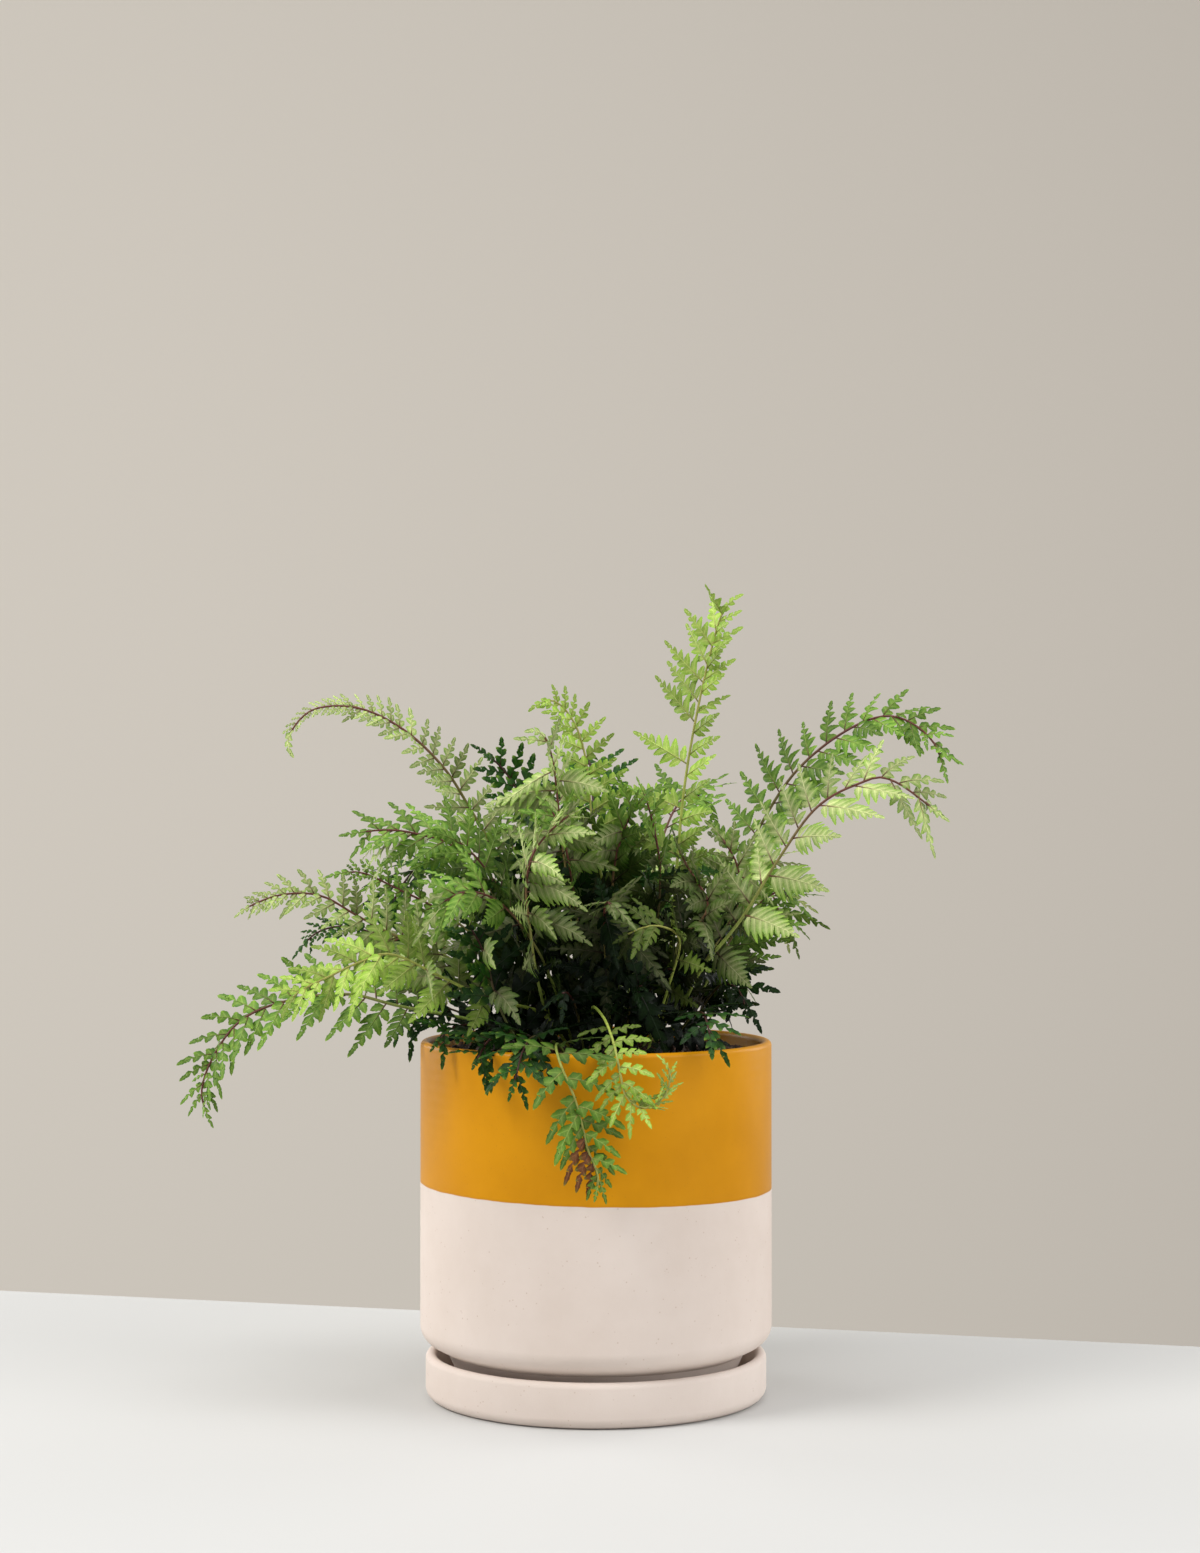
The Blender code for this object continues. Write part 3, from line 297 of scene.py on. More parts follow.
# What is drawn by chance for each pinna, and for each of its leaflets
PINNA_LIGHTS = (0.62, 1.2)
LEAFLET_LIGHTS = (0.9, 1.1)
LEAFLET_TURNS = (-4, 4)
LEAFLET_LENGTHS = (0.92, 1.06)
LEAFLET_WIDTHS = (0.95, 1.08)
LEAFLET_POSES = ((-0.05, 0.35), (0.02, 0.25), (-0.08, 0.14), (0.1, 0.35))  # tilt, curl, lift and fold
END_POSE = (0, 0.05, 0, 0.2)
COARSENESS = {"frond_front_droop": 1.75, "frond_front_curl": 1.5, "frond_left_droop": 1.25}
RACHIS_HALF_WIDTH = 0.42 * MM
RACHIS_TIP = 0.12 * MM
RACHIS_SIDES = 5
RACHIS_END = 0.97  # of the pinna's length
RIB_SIDES = 9
RIB_RADIUS = 0.8  # of the half width of the CAD node's rib
RIB_STEP = 4 * MM

# Pinnae beyond those of the CAD node
MORE_SPACING = 0.40  # how far apart they stand, as a share of their length
LEAST_SPACING = 3.4 * MM
MORE_CLEARANCE = -0.3 * MM  # below 0: they may come nearer to others than those of the CAD nodes

# Leaves that hang from the stalks with their faces outwards: old dark ones low in the bush, on all but
# the fronds of BARE_STALKS, which the photograph shows bare, and silver ones higher up, on those of
# FACING. They grow between a low and a high, a step apart along the rib, and their tips stay within a
# reach of the pot's axis.
BARE_STALKS = ("frond_tall", "frond_centre_front", "frond_left_lime", "frond_right_lime",
               "frond_front_droop", "frond_front_curl", "frond_left_droop")
FACING = ("frond_centre_front", "frond_centre_low", "frond_centre_right", "frond_top_silver",
          "frond_right_low", "frond_bush_left", "frond_bush_front", "frond_bush_middle", "frond_bush_right",
          "frond_wine", "frond_left_middle", "frond_left_long", "frond_left_lime", "frond_front_left")
Hanging = namedtuple("Hanging", "kind low high step shortest longest reach")
UNDER = Hanging("under", 176 * MM, 262 * MM, 4 * MM, 20 * MM, 36 * MM, 78 * MM)
FACE = Hanging("face", 204 * MM, 312 * MM, 5 * MM, 28 * MM, 44 * MM, 130 * MM)
HANGING_TRIES = 14
HANGING_END = 0.85  # of the rib's length
LEAF_TONES = {"under": "dark", "face": "silver"}

# Linear colours: a leaflet beside its midrib and at the pinna's edge, the frond's stalk, and its midrib.
# Then the share of a leaflet that is joined to its neighbours, and the room it takes beside a fine one's.
Tone = namedtuple("Tone", "centre edge stalk rib wing coarseness")
TONES = {
    "lime": Tone((0.41, 0.52, 0.13), (0.25, 0.46, 0.035), (0.38, 0.5, 0.08), (0.3, 0.3, 0.07), 0.44, 1),
    "silver": Tone((0.5, 0.55, 0.24), (0.16, 0.31, 0.035), (0.28, 0.36, 0.07), (0.13, 0.045, 0.03), 0.46,
                   1),
    "green": Tone((0.22, 0.35, 0.065), (0.055, 0.17, 0.01), (0.2, 0.28, 0.05), (0.12, 0.04, 0.03), 0.38,
                  1.1),
    "dark": Tone((0.03, 0.1, 0.012), (0.009, 0.05, 0.004), (0.08, 0.1, 0.02), (0.05, 0.016, 0.012), 0.32,
                 1.35),
}
TIP_TINT = (0.36, 0.58, 0.06)
DRY = Tone((0.32, 0.14, 0.055), (0.14, 0.045, 0.02), (0.1, 0.05, 0.03), (0.1, 0.05, 0.03), 0.3, 1)
# The bush's dark inside: an ellipsoid round its heart, in which the leaves' colour is made darker, partly
# as older leaves and partly as painted shade where little light gets in
HEART = (0, -0.01, 0.19)
HEART_REACH = (0.10, 0.095, 0.105)
HEART_LIGHT = 0.11
DRY_FROND = "frond_front_droop"
DRY_HEIGHTS = (126 * MM, 142 * MM)


def soil_height(across, depth):
    """Height of the potting mix over a point, in metres."""
    share = min(1, math.hypot(across, depth) / (POT_RADIUS - POT_WALL))
    return SOIL_EDGE + SOIL_MOUND * (1 - share * share)


def foot_inside_radius(height):
    """Radius of the pot's hollow foot at a height."""
    slope = (FOOT_TOP_RADIUS - FOOT_RADIUS) / (FOOT_TOP - POT_BOTTOM)
    return FOOT_RADIUS - POT_WALL + (height - POT_BOTTOM) * slope


def arc(centre, radius, start, end, steps):
    """Points of a profile's round, as (radius, height), from one angle to another in degrees."""
    points = []
    for step in range(steps + 1):
        angle = math.radians(start + (end - start) * step / steps)
        points.append((centre[0] + radius * math.cos(angle), centre[1] + radius * math.sin(angle)))
    return points


def from_view(across, depth, height):
    """A point read off the photograph, slid along its line of sight to its depth, in metres."""
    scale = (EYE_DISTANCE + depth) / EYE_DISTANCE
    return Vector((across * scale, depth, EYE_HEIGHT + (height - EYE_HEIGHT) * scale)) * MM


def hidden_frond(number, row):
    """A frond on the far side, which rises from its root and arches over."""
    across, depth, azimuth, reach, height, hang = row
    root = Vector((across, depth, 0)) * MM
    outward = Vector((math.cos(math.radians(azimuth)), math.sin(math.radians(azimuth)), 0)) * reach * MM
    base = soil_height(root.x, root.y)
    rise = height * MM - base
    drop = hang * MM / rise
    past_top, fallen = ARCH_SHOULDER
    shares = ((0, 0), *ARCH, (past_top, 1 - fallen * drop), (1, 1 - drop))
    route = [root + outward * out + Vector((0, 0, base + rise * up)) for out, up in shares]
    return Frond(
        name=f"frond_back_{number + 1}",
        tone=HIDDEN_TONES[number % len(HIDDEN_TONES)],
        pairs=HIDDEN_PAIRS,
        bare=HIDDEN_BARE,
        longest=HIDDEN_LONGEST,
        taper=HIDDEN_TAPER,
        roll=0,
        route=route,
    )


class Rib:
    """A frond's stalk and midrib: a smooth curve, with the frame of the leafy part along it."""

    def __init__(self, frond, shift):
        self.frond = frond
        self.points = smooth_curve(rooted(shifted(frond.route, shift)))
        self.lengths = [0]
        for first, second in zip(self.points, self.points[1:]):
            self.lengths.append(self.lengths[-1] + (second - first).length)
        self.length = self.lengths[-1]
        lean = self.points[-1] - self.points[0]
        lean.z = 0
        self.across = lean.normalized().cross(Vector((0, 0, 1)))
        self.root_half_width = ROOT_HALF_WIDTH + ROOT_HALF_WIDTH_GAIN * self.length

    def half_width(self, at):
        return self.root_half_width + (TIP_HALF_WIDTH - self.root_half_width) * at / self.length

    def frame(self, at):
        """Centre, direction, upper normal and left side at a length along the rib."""
        at = min(max(at, 0), self.length)
        index = 1
        while index < len(self.lengths) - 1 and self.lengths[index] < at:
            index += 1
        start, end = self.points[index - 1], self.points[index]
        share = (at - self.lengths[index - 1]) / (self.lengths[index] - self.lengths[index - 1])
        before = self.points[max(index - 2, 0)]
        after = self.points[min(index + 1, len(self.points) - 1)]
        along = (end - before).normalized().lerp((after - start).normalized(), share).normalized()
        roll = math.radians(self.frond.roll)
        normal = self.across.cross(along).normalized() * math.cos(roll) + self.across * math.sin(roll)
        normal = (normal - along * normal.dot(along)).normalized()
        return start.lerp(end, share), along, normal, normal.cross(along)


def shifted(route, shift):
    """The route with its middle moved along the line of sight, and its root and tip left in place."""
    last = len(route) - 1
    moved = []
    for index, point in enumerate(route):
        bump = math.sin(math.pi * index / last)
        moved.append(point + Vector((0, shift * bump, 0)))
    return moved


def rooted(route):
    """The route with a straight foot in the potting mix."""
    root = route[0].copy()
    root.z = soil_height(root.x, root.y)
    return [root - Vector((0, 0, STEM_DEPTH)), root, root + Vector((0, 0, FOOT_RISE))] + route[1:]


def smooth_curve(points):
    """Points of a Catmull-Rom curve through the given ones."""
    ends = [points[0] * 2 - points[1]] + points + [points[-1] * 2 - points[-2]]
    curve = []
    for before, start, end, after in zip(ends, ends[1:], ends[2:], ends[3:]):
        for step in range(CURVE_STEPS):
            t = step / CURVE_STEPS
            curve.append(
                0.5 * ((2 * start) + (end - before) * t + (2 * before - 5 * start + 4 * end - after) * t * t
                       + (3 * start - before - 3 * end + after) * t * t * t)
            )
    return curve + [points[-1]]


class Pinna:
    """The curved sheet of one pinna. u runs along it from 0 to its length, v runs to its left."""

    def __init__(self, base, along, normal, bend, length):
        self.base = base
        self.along = along.normalized()
        self.normal = (normal - self.along * normal.dot(self.along)).normalized()
        self.bend = bend
        self.length = length

    def place(self, u, v, raised):
        share = u / self.length
        centre = self.base + self.along * u + self.bend * (u * share)
        tangent = (self.along + self.bend * (2 * share)).normalized()
        normal = (self.normal - tangent * self.normal.dot(tangent)).normalized()
        fall = EDGE_DROOP * v * v / (PINNA_HALF_WIDTH * self.length)
        return centre + normal.cross(tangent) * v + normal * (raised - fall)

    def half_width(self, u):
        share = u / self.length
        taken = min(1, PINNA_FOOT_WIDTH + PINNA_WIDENING * share)
        return PINNA_HALF_WIDTH * self.length * taken * (1 - share) ** PINNA_NARROWING


def lobe_pairs(length):
    """How many pairs of lobes the CAD blade of a pinna of a length has."""
    return sum(length > limit for limit in LOBED_LENGTHS)


def envelope(pinna, margin):
    """The space that a pinna takes up, with a margin all round, as points and triangles."""
    rows = []
    for share in ENVELOPE_SHARES:
        reach = pinna.half_width(pinna.length * min(share, BLUNT_END)) * ENVELOPE_REACH + margin
        for raised in (margin + BLADE_THICKNESS / 2, -margin - BLADE_THICKNESS / 2):
            for side in (1, 0, -1):
                rows.append(pinna.place(pinna.length * share + margin * (share == 1), reach * side, raised))
    triangles = []
    ring = (0, 1, 2, 5, 4, 3)
    last = len(ENVELOPE_SHARES) - 1
    for row in range(last):
        for first, second in zip(ring, ring[1:] + ring[:1]):
            a, b = row * 6 + first, row * 6 + second
            triangles += [(a, b, b + 6), (a, b + 6, a + 6)]
    for base in (0, last * 6):
        triangles += [(base, base + 1, base + 4), (base, base + 4, base + 3)]
        triangles += [(base + 1, base + 2, base + 5), (base + 1, base + 5, base + 4)]
    return rows, triangles


def tube(rib, margin):
    """The space that a rib takes up above the potting mix, with a margin, as points and triangles."""
    rows = []
    count = round(rib.length / TUBE_STEP)
    for step in range(count + 1):
        at = TUBE_START + (rib.length - TUBE_START) * step / count
        centre, _, normal, side = rib.frame(at)
        reach = rib.half_width(at) + margin
        rows += [centre + (normal * a + side * b) * reach for a, b in ((1, 1), (1, -1), (-1, -1), (-1, 1))]
    triangles = []
    for row in range(count):
        for first, second in ((0, 1), (1, 2), (2, 3), (3, 0)):
            a, b = row * 4 + first, row * 4 + second
            triangles += [(a, b, b + 4), (a, b + 4, a + 4)]
    return rows, triangles


class Space:
    """What is placed already, so that the next piece can be bent clear of it."""

    def __init__(self):
        self.taken = []

    def add(self, points, triangles):
        self.taken.append((*bounds(points), BVHTree.FromPolygons(points, triangles)))

    def is_clear(self, points, triangles, leave_out=()):
        low, high = bounds(points)
        tree = None
        for index, (other_low, other_high, other) in enumerate(self.taken):
            if index in leave_out:
                continue
            if any(low[i] > other_high[i] or high[i] < other_low[i] for i in range(3)):
                continue
            tree = tree or BVHTree.FromPolygons(points, triangles)
            if tree.overlap(other):
                return False
        return True


def bounds(points):
    low = [min(point[i] for point in points) for i in range(3)]
    high = [max(point[i] for point in points) for i in range(3)]
    return low, high


def place_ribs(fronds, space):
    """Each frond's rib, its middle moved in depth where it would meet another."""
    ribs = []
    for frond in fronds:
        for shift in DEPTH_SHIFTS:
            rib = Rib(frond, shift * MM)
            stalk_space, tip_space = tube(rib, STALK_CLEARANCE), envelope(tip_pinna(rib), CLEARANCE)
            if space.is_clear(*stalk_space) and space.is_clear(*tip_space):
                break
        space.add(*tube(rib, 0))
        space.add(*envelope(tip_pinna(rib), 0))
        ribs.append(rib)
    return ribs


def pinna_stations(rib):
    """Lengths along the rib where its pairs of pinnae stand, closer towards the tip."""
    bare = rib.frond.bare * rib.length
    shares = [pair / (rib.frond.pairs + 0.4) for pair in range(rib.frond.pairs)]
    return [bare + (rib.length - bare) * (1 - (1 - share) ** PAIR_CROWDING) for share in shares]


def stagger(rib, pair):
    """How far a pair's left pinna stands past its station, and its right one before it."""
    return STAGGER * (rib.length - pinna_stations(rib)[pair]) / (rib.frond.pairs - pair + 0.5)


def tip_start(rib):
    """Length along the rib where its last blade begins, just past its last pair."""
    return pinna_stations(rib)[-1] + stagger(rib, rib.frond.pairs - 1) + 1.2 * PINNA_BASE


def tip_pinna(rib):
    """The blade that ends the frond, bent to meet the end of its route."""
    centre, forward, normal, _ = rib.frame(tip_start(rib))
    length = rib.length - tip_start(rib)
    bend = (rib.points[-1] - centre - forward * length) / length
    return Pinna(centre, forward, normal, bend, length)


def pinna_length(rib, at, side):
    """Length of the pinna on one side (1 for left): full low on the leafy part, and less at the tip."""
    share = (at - rib.frond.bare * rib.length) / (rib.length * (1 - rib.frond.bare))
    full = rib.frond.longest * MM * (rib.frond.left if side == 1 else rib.frond.right)
    return max(full * (1 - share) ** rib.frond.taper * min(1, 0.85 + share), LEAST_PINNA)


# What is tried for a pinna in turn: more lift and more lean towards the tip, in degrees, and then the
# same again at a smaller share of its length
TRIED_TURNS = [(0, 0), (14, 0), (-14, 0), (26, 8), (-26, 8), (38, 16), (-38, 16), (10, 28), (44, 24),
               (-52, 24), (0, -14), (-64, 30)]
TRIED_SIZES = (1, 0.8, 0.6, 0.45)
TRIES = [(lift, lean, size) for size in TRIED_SIZES for lift, lean in TRIED_TURNS]


def try_pinna(rib, at, side, chance, change):
    """The pinna at a length along the rib, on its left (1) or right (-1), changed by one of the tries."""
    centre, forward, normal, left = rib.frame(at)
    share = (at / rib.length - rib.frond.bare) / (1 - rib.frond.bare)
    lift, lean, size = change
    length = pinna_length(rib, at, side) * (1 + LENGTH_SPREAD * chance[4]) * size
    angle = PINNA_ANGLE - PINNA_ANGLE_CLOSING * share + chance[0] * ANGLE_SPREAD - lean
    angle = math.radians(max(angle, LEAST_ANGLES[lobe_pairs(length)]))
    raised = PINNA_RAISE + chance[1] * RAISE_SPREAD + lift
    raised = math.radians(max(-MOST_RAISE, min(raised, MOST_RAISE)))
    outward = left * side
    flat = forward * math.cos(angle) + outward * math.sin(angle)
    along = flat * math.cos(raised) + normal * math.sin(raised)
    upright = normal * math.cos(raised) - flat * math.sin(raised)
    upright = Matrix.Rotation(math.radians(chance[2] * TWIST_SPREAD), 3, along) @ upright
    bend = forward * PINNA_SWEEP - Vector((0, 0, PINNA_SAG + SAG_SPREAD * chance[3]))
    base = centre + outward * rib.half_width(at)
    return Pinna(base, along, upright, bend, length)


def first_clear(rib, at, side, chance, space, own, margins):
    """The first try that is clear by one margin, whose space is then taken with the other, or None."""
    for change in TRIES:
        pinna = try_pinna(rib, at, side, chance, change)
        if space.is_clear(*envelope(pinna, margins[0]), leave_out=(own,)):
            space.add(*envelope(pinna, margins[1]))
            return pinna
    return None


def place_pinnae(ribs, first_rib, space):
    """Each rib's pinnae, as (station, side, length along the rib, pinna), clear of all placed before."""
    foliage = []
    for number, rib in enumerate(ribs):
        draw = random.Random(rib.frond.name)
        placed = []
        for station, at in enumerate(pinna_stations(rib)):
            for side in (1, -1):
                chance = [draw.uniform(-1, 1) for _ in range(CHANCES)]
                own_at = at + side * stagger(rib, station)
                own = first_rib + 2 * number
                pinna = first_clear(rib, own_at, side, chance, space, own, (CLEARANCE, 0))
                if pinna:
                    placed.append((station, side, own_at, pinna))
        foliage.append(placed)
    return foliage


def place_more(ribs, foliage, first_rib, space):
    """More pinnae between those of the CAD nodes, where there is room."""
    for number, (rib, placed) in enumerate(zip(ribs, foliage)):
        draw = random.Random(rib.frond.name + " more")
        for side in (1, -1):
            stations = sorted(at for _, own_side, at, _ in placed if own_side == side)
            starts = [rib.frond.bare * rib.length] + stations
            for first, second in zip(starts, stations + [tip_start(rib)]):
                length = pinna_length(rib, (first + second) / 2, side)
                count = round((second - first) / max(MORE_SPACING * length, LEAST_SPACING)) - 1
                for extra in range(1, count + 1):
                    at = first + (second - first) * extra / (count + 1)
                    chance = [draw.uniform(-1, 1) for _ in range(CHANCES)]
                    own = first_rib + 2 * number
                    margins = (MORE_CLEARANCE, MORE_CLEARANCE)
                    pinna = first_clear(rib, at, side, chance, space, own, margins)
                    if pinna:
                        placed.append(("more", side, at, pinna))


def place_hanging(ribs, foliage, first_rib, space, leaves):
    """Leaves that hang round the stalks between two heights, where there is room."""
    for number, (rib, placed) in enumerate(zip(ribs, foliage)):
        name = rib.frond.name
        if name in BARE_STALKS if leaves is UNDER else name not in FACING:
            continue
        draw = random.Random(f"{name} {leaves.kind}")
        at = STEM_DEPTH
        while at < rib.length * HANGING_END:
            at += leaves.step
            centre, forward, _, _ = rib.frame(at)
            if not leaves.low < centre.z < leaves.high:
                continue
            outward = Vector((centre.x, centre.y, 0)).normalized()
            for _ in range(HANGING_TRIES):
                turn = draw.uniform(-3.4, 0.3) if leaves is FACE else draw.uniform(0, math.tau)
                round_pot = Vector((-outward.y, outward.x, 0))
                along = round_pot * math.cos(turn) + Vector((0, 0, 0.7)) * math.sin(turn)
                along = (along + outward * draw.uniform(0, 0.7)).normalized()
                chance = Vector([draw.uniform(-0.4, 0.4) for _ in range(3)])
                facing = outward + chance + Vector((0, 0, 0.35))
                bend = Vector((0, 0, -draw.uniform(0.1, 0.4)))
                base = centre + (along - forward * along.dot(forward)).normalized() * rib.half_width(at)
                pinna = Pinna(base, along, facing, bend, draw.uniform(leaves.shortest, leaves.longest))
                tip = pinna.place(pinna.length, 0, 0)
                taken = envelope(pinna, MORE_CLEARANCE)
                clear = space.is_clear(*taken, leave_out=(first_rib + 2 * number,))
                if clear and math.hypot(tip.x, tip.y) < leaves.reach:
                    space.add(*taken)
                    placed.append((leaves.kind, 0, at, pinna))
                    break


class Growth:
    """Points and faces of one frond, with a colour and a place on its blade for each point."""

    def __init__(self):
        self.points = []
        self.tints = []
        self.places = []
        self.faces = []
        self.kinds = []

    def point(self, place, tint, along, across):
        self.points.append(place)
        self.tints.append((*tint, 1))
        self.places.append((along, across))
        return len(self.points) - 1

    def face(self, corners, kind):
        self.faces.append(corners)
        self.kinds.append(kind)


LEAF, STALK = 0, 1


def blend(first, second, share):
    share = min(max(share, 0), 1)
    return tuple(a + (b - a) * share for a, b in zip(first, second))


def dimmed(colour, factor):
    return tuple(min(part * factor, 1) for part in colour)


def add_tube(growth, rings, sides):
    """A round stalk through rings of (centre, one normal, other normal, radius, tint, length so far)."""
    before = None
    for centre, normal, side, radius, tint, at in rings:
        ring = []
        for step in range(sides):
            turn = math.tau * step / sides
            place = centre + (normal * math.cos(turn) + side * math.sin(turn)) * radius
            ring.append(growth.point(place, tint, at * 40, step / sides))
        if before:
            for step in range(sides):
                after = (step + 1) % sides
                growth.face((before[step], before[after], ring[after], ring[step]), STALK)
        else:
            growth.face(tuple(ring[::-1]), STALK)
        before = ring
    growth.face(tuple(before), STALK)


def grow_rib(growth, rib, tone):
    end = tip_start(rib)
    count = round(end / RIB_STEP)
    rings = []
    for step in range(count + 1):
        at = end * step / count
        centre, _, normal, side = rib.frame(at)
        tint = blend(tone.stalk, tone.rib, (at / rib.length - 0.3) / 0.4)
        rings.append((centre, normal, side, rib.half_width(at) * RIB_RADIUS, tint, at))
    add_tube(growth, rings, RIB_SIDES)


def grow_rachis(growth, pinna, tone, start, light):
    """The pinna's own midrib, from inside the rib to near its end."""
    steps = max(3, round(pinna.length / (4 * MM)))
    thick = RACHIS_HALF_WIDTH * min(1, 0.45 + pinna.length / (60 * MM))
    pale = dimmed(tone.centre, 1.2)
    rings = []
    for step in range(steps + 1):
        share = step / steps
        u = start + (pinna.length * RACHIS_END - start) * share
        centre = pinna.place(u, 0, 0)
        ahead = (pinna.place(u + MM, 0, 0) - centre).normalized()
        normal = (pinna.normal - ahead * pinna.normal.dot(ahead)).normalized()
        radius = thick + (RACHIS_TIP - thick) * share
        tint = dimmed(blend(tone.rib, pale, (share - 0.08) / 0.45), light)
        rings.append((centre, normal, ahead.cross(normal), radius, tint, u))
    add_tube(growth, rings, RACHIS_SIDES)


def age_and_painted_shade(place):
    """Painted shade, with some darkening of older leaves: a factor that is dark in the heart of the bush,
    and 1 outside it.
    """
    off = math.sqrt(sum(((place[i] - HEART[i]) / HEART_REACH[i]) ** 2 for i in range(3)))
    share = min(max((off - 0.6) / 0.55, 0), 1)
    return HEART_LIGHT + (1 - HEART_LIGHT) * share * share * (3 - 2 * share)


def grow_leaflet(growth, pinna, foot, side, angle, shape, tone, light, pose):
    """One toothed leaflet, from a foot on the pinna's midrib to one side, or along it where side is 0.

    Its shape is its length, its half width, half of its foot along the midrib, the share of its length
    that is joined to its neighbours, and its half width there.
    """
    length, half, half_foot, wing, joined = shape
    teeth = max(TEETH[0], min(TEETH[1], round(length / TOOTH_LONG)))
    tilt, curl, lift, fold = pose
    cosine, sine = math.cos(angle), math.sin(angle) * side
    spin = side or 1

    def put(s, t):
        u = foot + cosine * s * length - math.sin(angle) * t
        v = sine * s * length + math.cos(angle) * t * spin
        height = lift * s * length - curl * length * s * s
        height += fold * abs(t) * min(1, 3 * s)
        height += tilt * t * min(1, 2 * s)
        edge = abs(v) / max(pinna.half_width(min(max(u, 0), 0.98 * pinna.length)), 0.5 * MM)
        tint = blend(tone.centre, tone.edge, 0.9 * edge - 0.2 + 0.5 * abs(t) / half)
        if light > 0.5:
            tint = blend(tint, TIP_TINT, 0.45 * max(0, s - 0.55) / 0.45)
        return growth.point(pinna.place(u, v, height), dimmed(tint, light), s, 0.5 + 0.5 * t / half)

    def width(s):
        if s < WIDEST:
            return half * (LEAFLET_FOOT + (1 - LEAFLET_FOOT) * s / WIDEST)
        return half * ((1 - s) / (1 - WIDEST)) ** LEAFLET_NARROWING

    def add(corners, way):
        growth.face(corners if way * spin < 0 else corners[::-1], LEAF)

    middles = [put(0, 0), put(wing, 0)]
    middles += [put(wing + (1 - wing) * (k + 1) / (teeth + 0.45), 0) for k in range(teeth)]
    apex = put(1, 0)
    for way in (1, -1):
        own_foot = put(0, way * half)
        if side:
            growth.points[own_foot] = pinna.place(foot - way * half_foot, 0, 0)
        notch = put(wing, way * joined)
        add((middles[0], own_foot, notch, middles[1]), way)
        for k in range(teeth):
            tip_s = wing + (1 - wing) * (k + 0.8) / (teeth + 0.45)
            tip = put(tip_s, way * width(tip_s))
            after_s = wing + (1 - wing) * (k + 1) / (teeth + 0.45)
            after = put(after_s, way * width(after_s) * NOTCH)
            add((middles[k + 1], notch, tip), way)
            add((middles[k + 1], tip, after), way)
            add((middles[k + 1], after, middles[k + 2]), way)
            notch = after
        add((middles[-1], notch, apex), way)


def grow_pinna(growth, pinna, tone, start, draw, coarseness):
    """The leaflets of a pinna on their midrib, closer and more joined towards its tip."""
    length = pinna.length
    # The pinna's colour is dimmed at random, and by painted shade in the bush's heart, partly standing for
    # older leaves
    light = draw.uniform(*PINNA_LIGHTS) * age_and_painted_shade(pinna.place(length / 2, 0, 0))
    grow_rachis(growth, pinna, tone, start, light)
    pairs = max(LEAFLET_PAIRS[0], min(LEAFLET_PAIRS[1], round(length / (LEAFLET_PITCH * coarseness))))
    bare = LEAFLET_BARE * length + 0.5 * MM
    feet = []
    for pair in range(pairs + 1):
        share = 1 - (1 - pair / (pairs + 0.6)) ** LEAFLET_CROWDING
        feet.append(bare + (length - bare) * share)
    for pair in range(pairs):
        foot, pitch = feet[pair], feet[pair + 1] - feet[pair]
        share = foot / length
        wing = tone.wing + (WING_AT_TIP - tone.wing) * share * share
        for side in (1, -1):
            angle = LEAFLET_ANGLE - LEAFLET_ANGLE_CLOSING * share + draw.uniform(*LEAFLET_TURNS)
            angle = math.radians(angle)
            at = foot + side * LEAFLET_STAGGER * pitch
            reach = pinna.half_width(at) * LEAFLET_REACH
            for _ in range(3):
                end = min(at + reach / math.tan(angle), LEAFLET_END * length)
                reach = pinna.half_width(end) * LEAFLET_REACH * (1 - end / length) ** DRAWN_OUT
            reach *= min(1, 0.7 + 0.3 * pair)
            leaflet = max(reach / math.sin(angle), LEAST_LEAFLET) * draw.uniform(*LEAFLET_LENGTHS)
            apart = pitch * math.sin(angle)
            half = min(LEAFLET_FILL * apart * draw.uniform(*LEAFLET_WIDTHS), MOST_HALF * leaflet)
            half = max(half, LEAST_HALF)
            pose = [draw.uniform(*limits) for limits in LEAFLET_POSES]
            shape = (leaflet, half, LEAFLET_JOINED * pitch, wing, LEAFLET_JOINED * apart)
            if pair == 0 and length > LEAST_STALKED:
                shape = (leaflet, half, 0.12 * pitch, 0.14, 0.6 * half)
            own_light = light * draw.uniform(*LEAFLET_LIGHTS)
            grow_leaflet(growth, pinna, at, side, angle, shape, tone, own_light, pose)
    pitch = feet[pairs] - feet[pairs - 1]
    foot = feet[pairs - 1] + 0.3 * pitch
    half = min(0.3 * (length - foot), 0.75 * pitch)
    shape = (length - foot, half, 0, 0.2, 0.8 * half)
    grow_leaflet(growth, pinna, foot, 0, 0, shape, tone, light, END_POSE)


def grow_frond(rib, placed):
    growth = Growth()
    tone = TONES[rib.frond.tone]
    if rib.frond.name == DRY_FROND:
        tone = tone._replace(rib=TONES["lime"].rib)
    draw = random.Random(rib.frond.name + " leaflets")
    coarseness = COARSENESS.get(rib.frond.name, 1) * tone.coarseness
    grow_rib(growth, rib, tone)
    for station, side, at, pinna in placed:
        own = TONES[LEAF_TONES[station]] if station in LEAF_TONES else tone
        if rib.frond.name == DRY_FROND and side == -1 and DRY_HEIGHTS[0] < pinna.base.z < DRY_HEIGHTS[1]:
            own = DRY
        grow_pinna(growth, pinna, own, -rib.half_width(at), draw, coarseness)
    grow_pinna(growth, tip_pinna(rib), tone, -MM, draw, coarseness)
    return growth


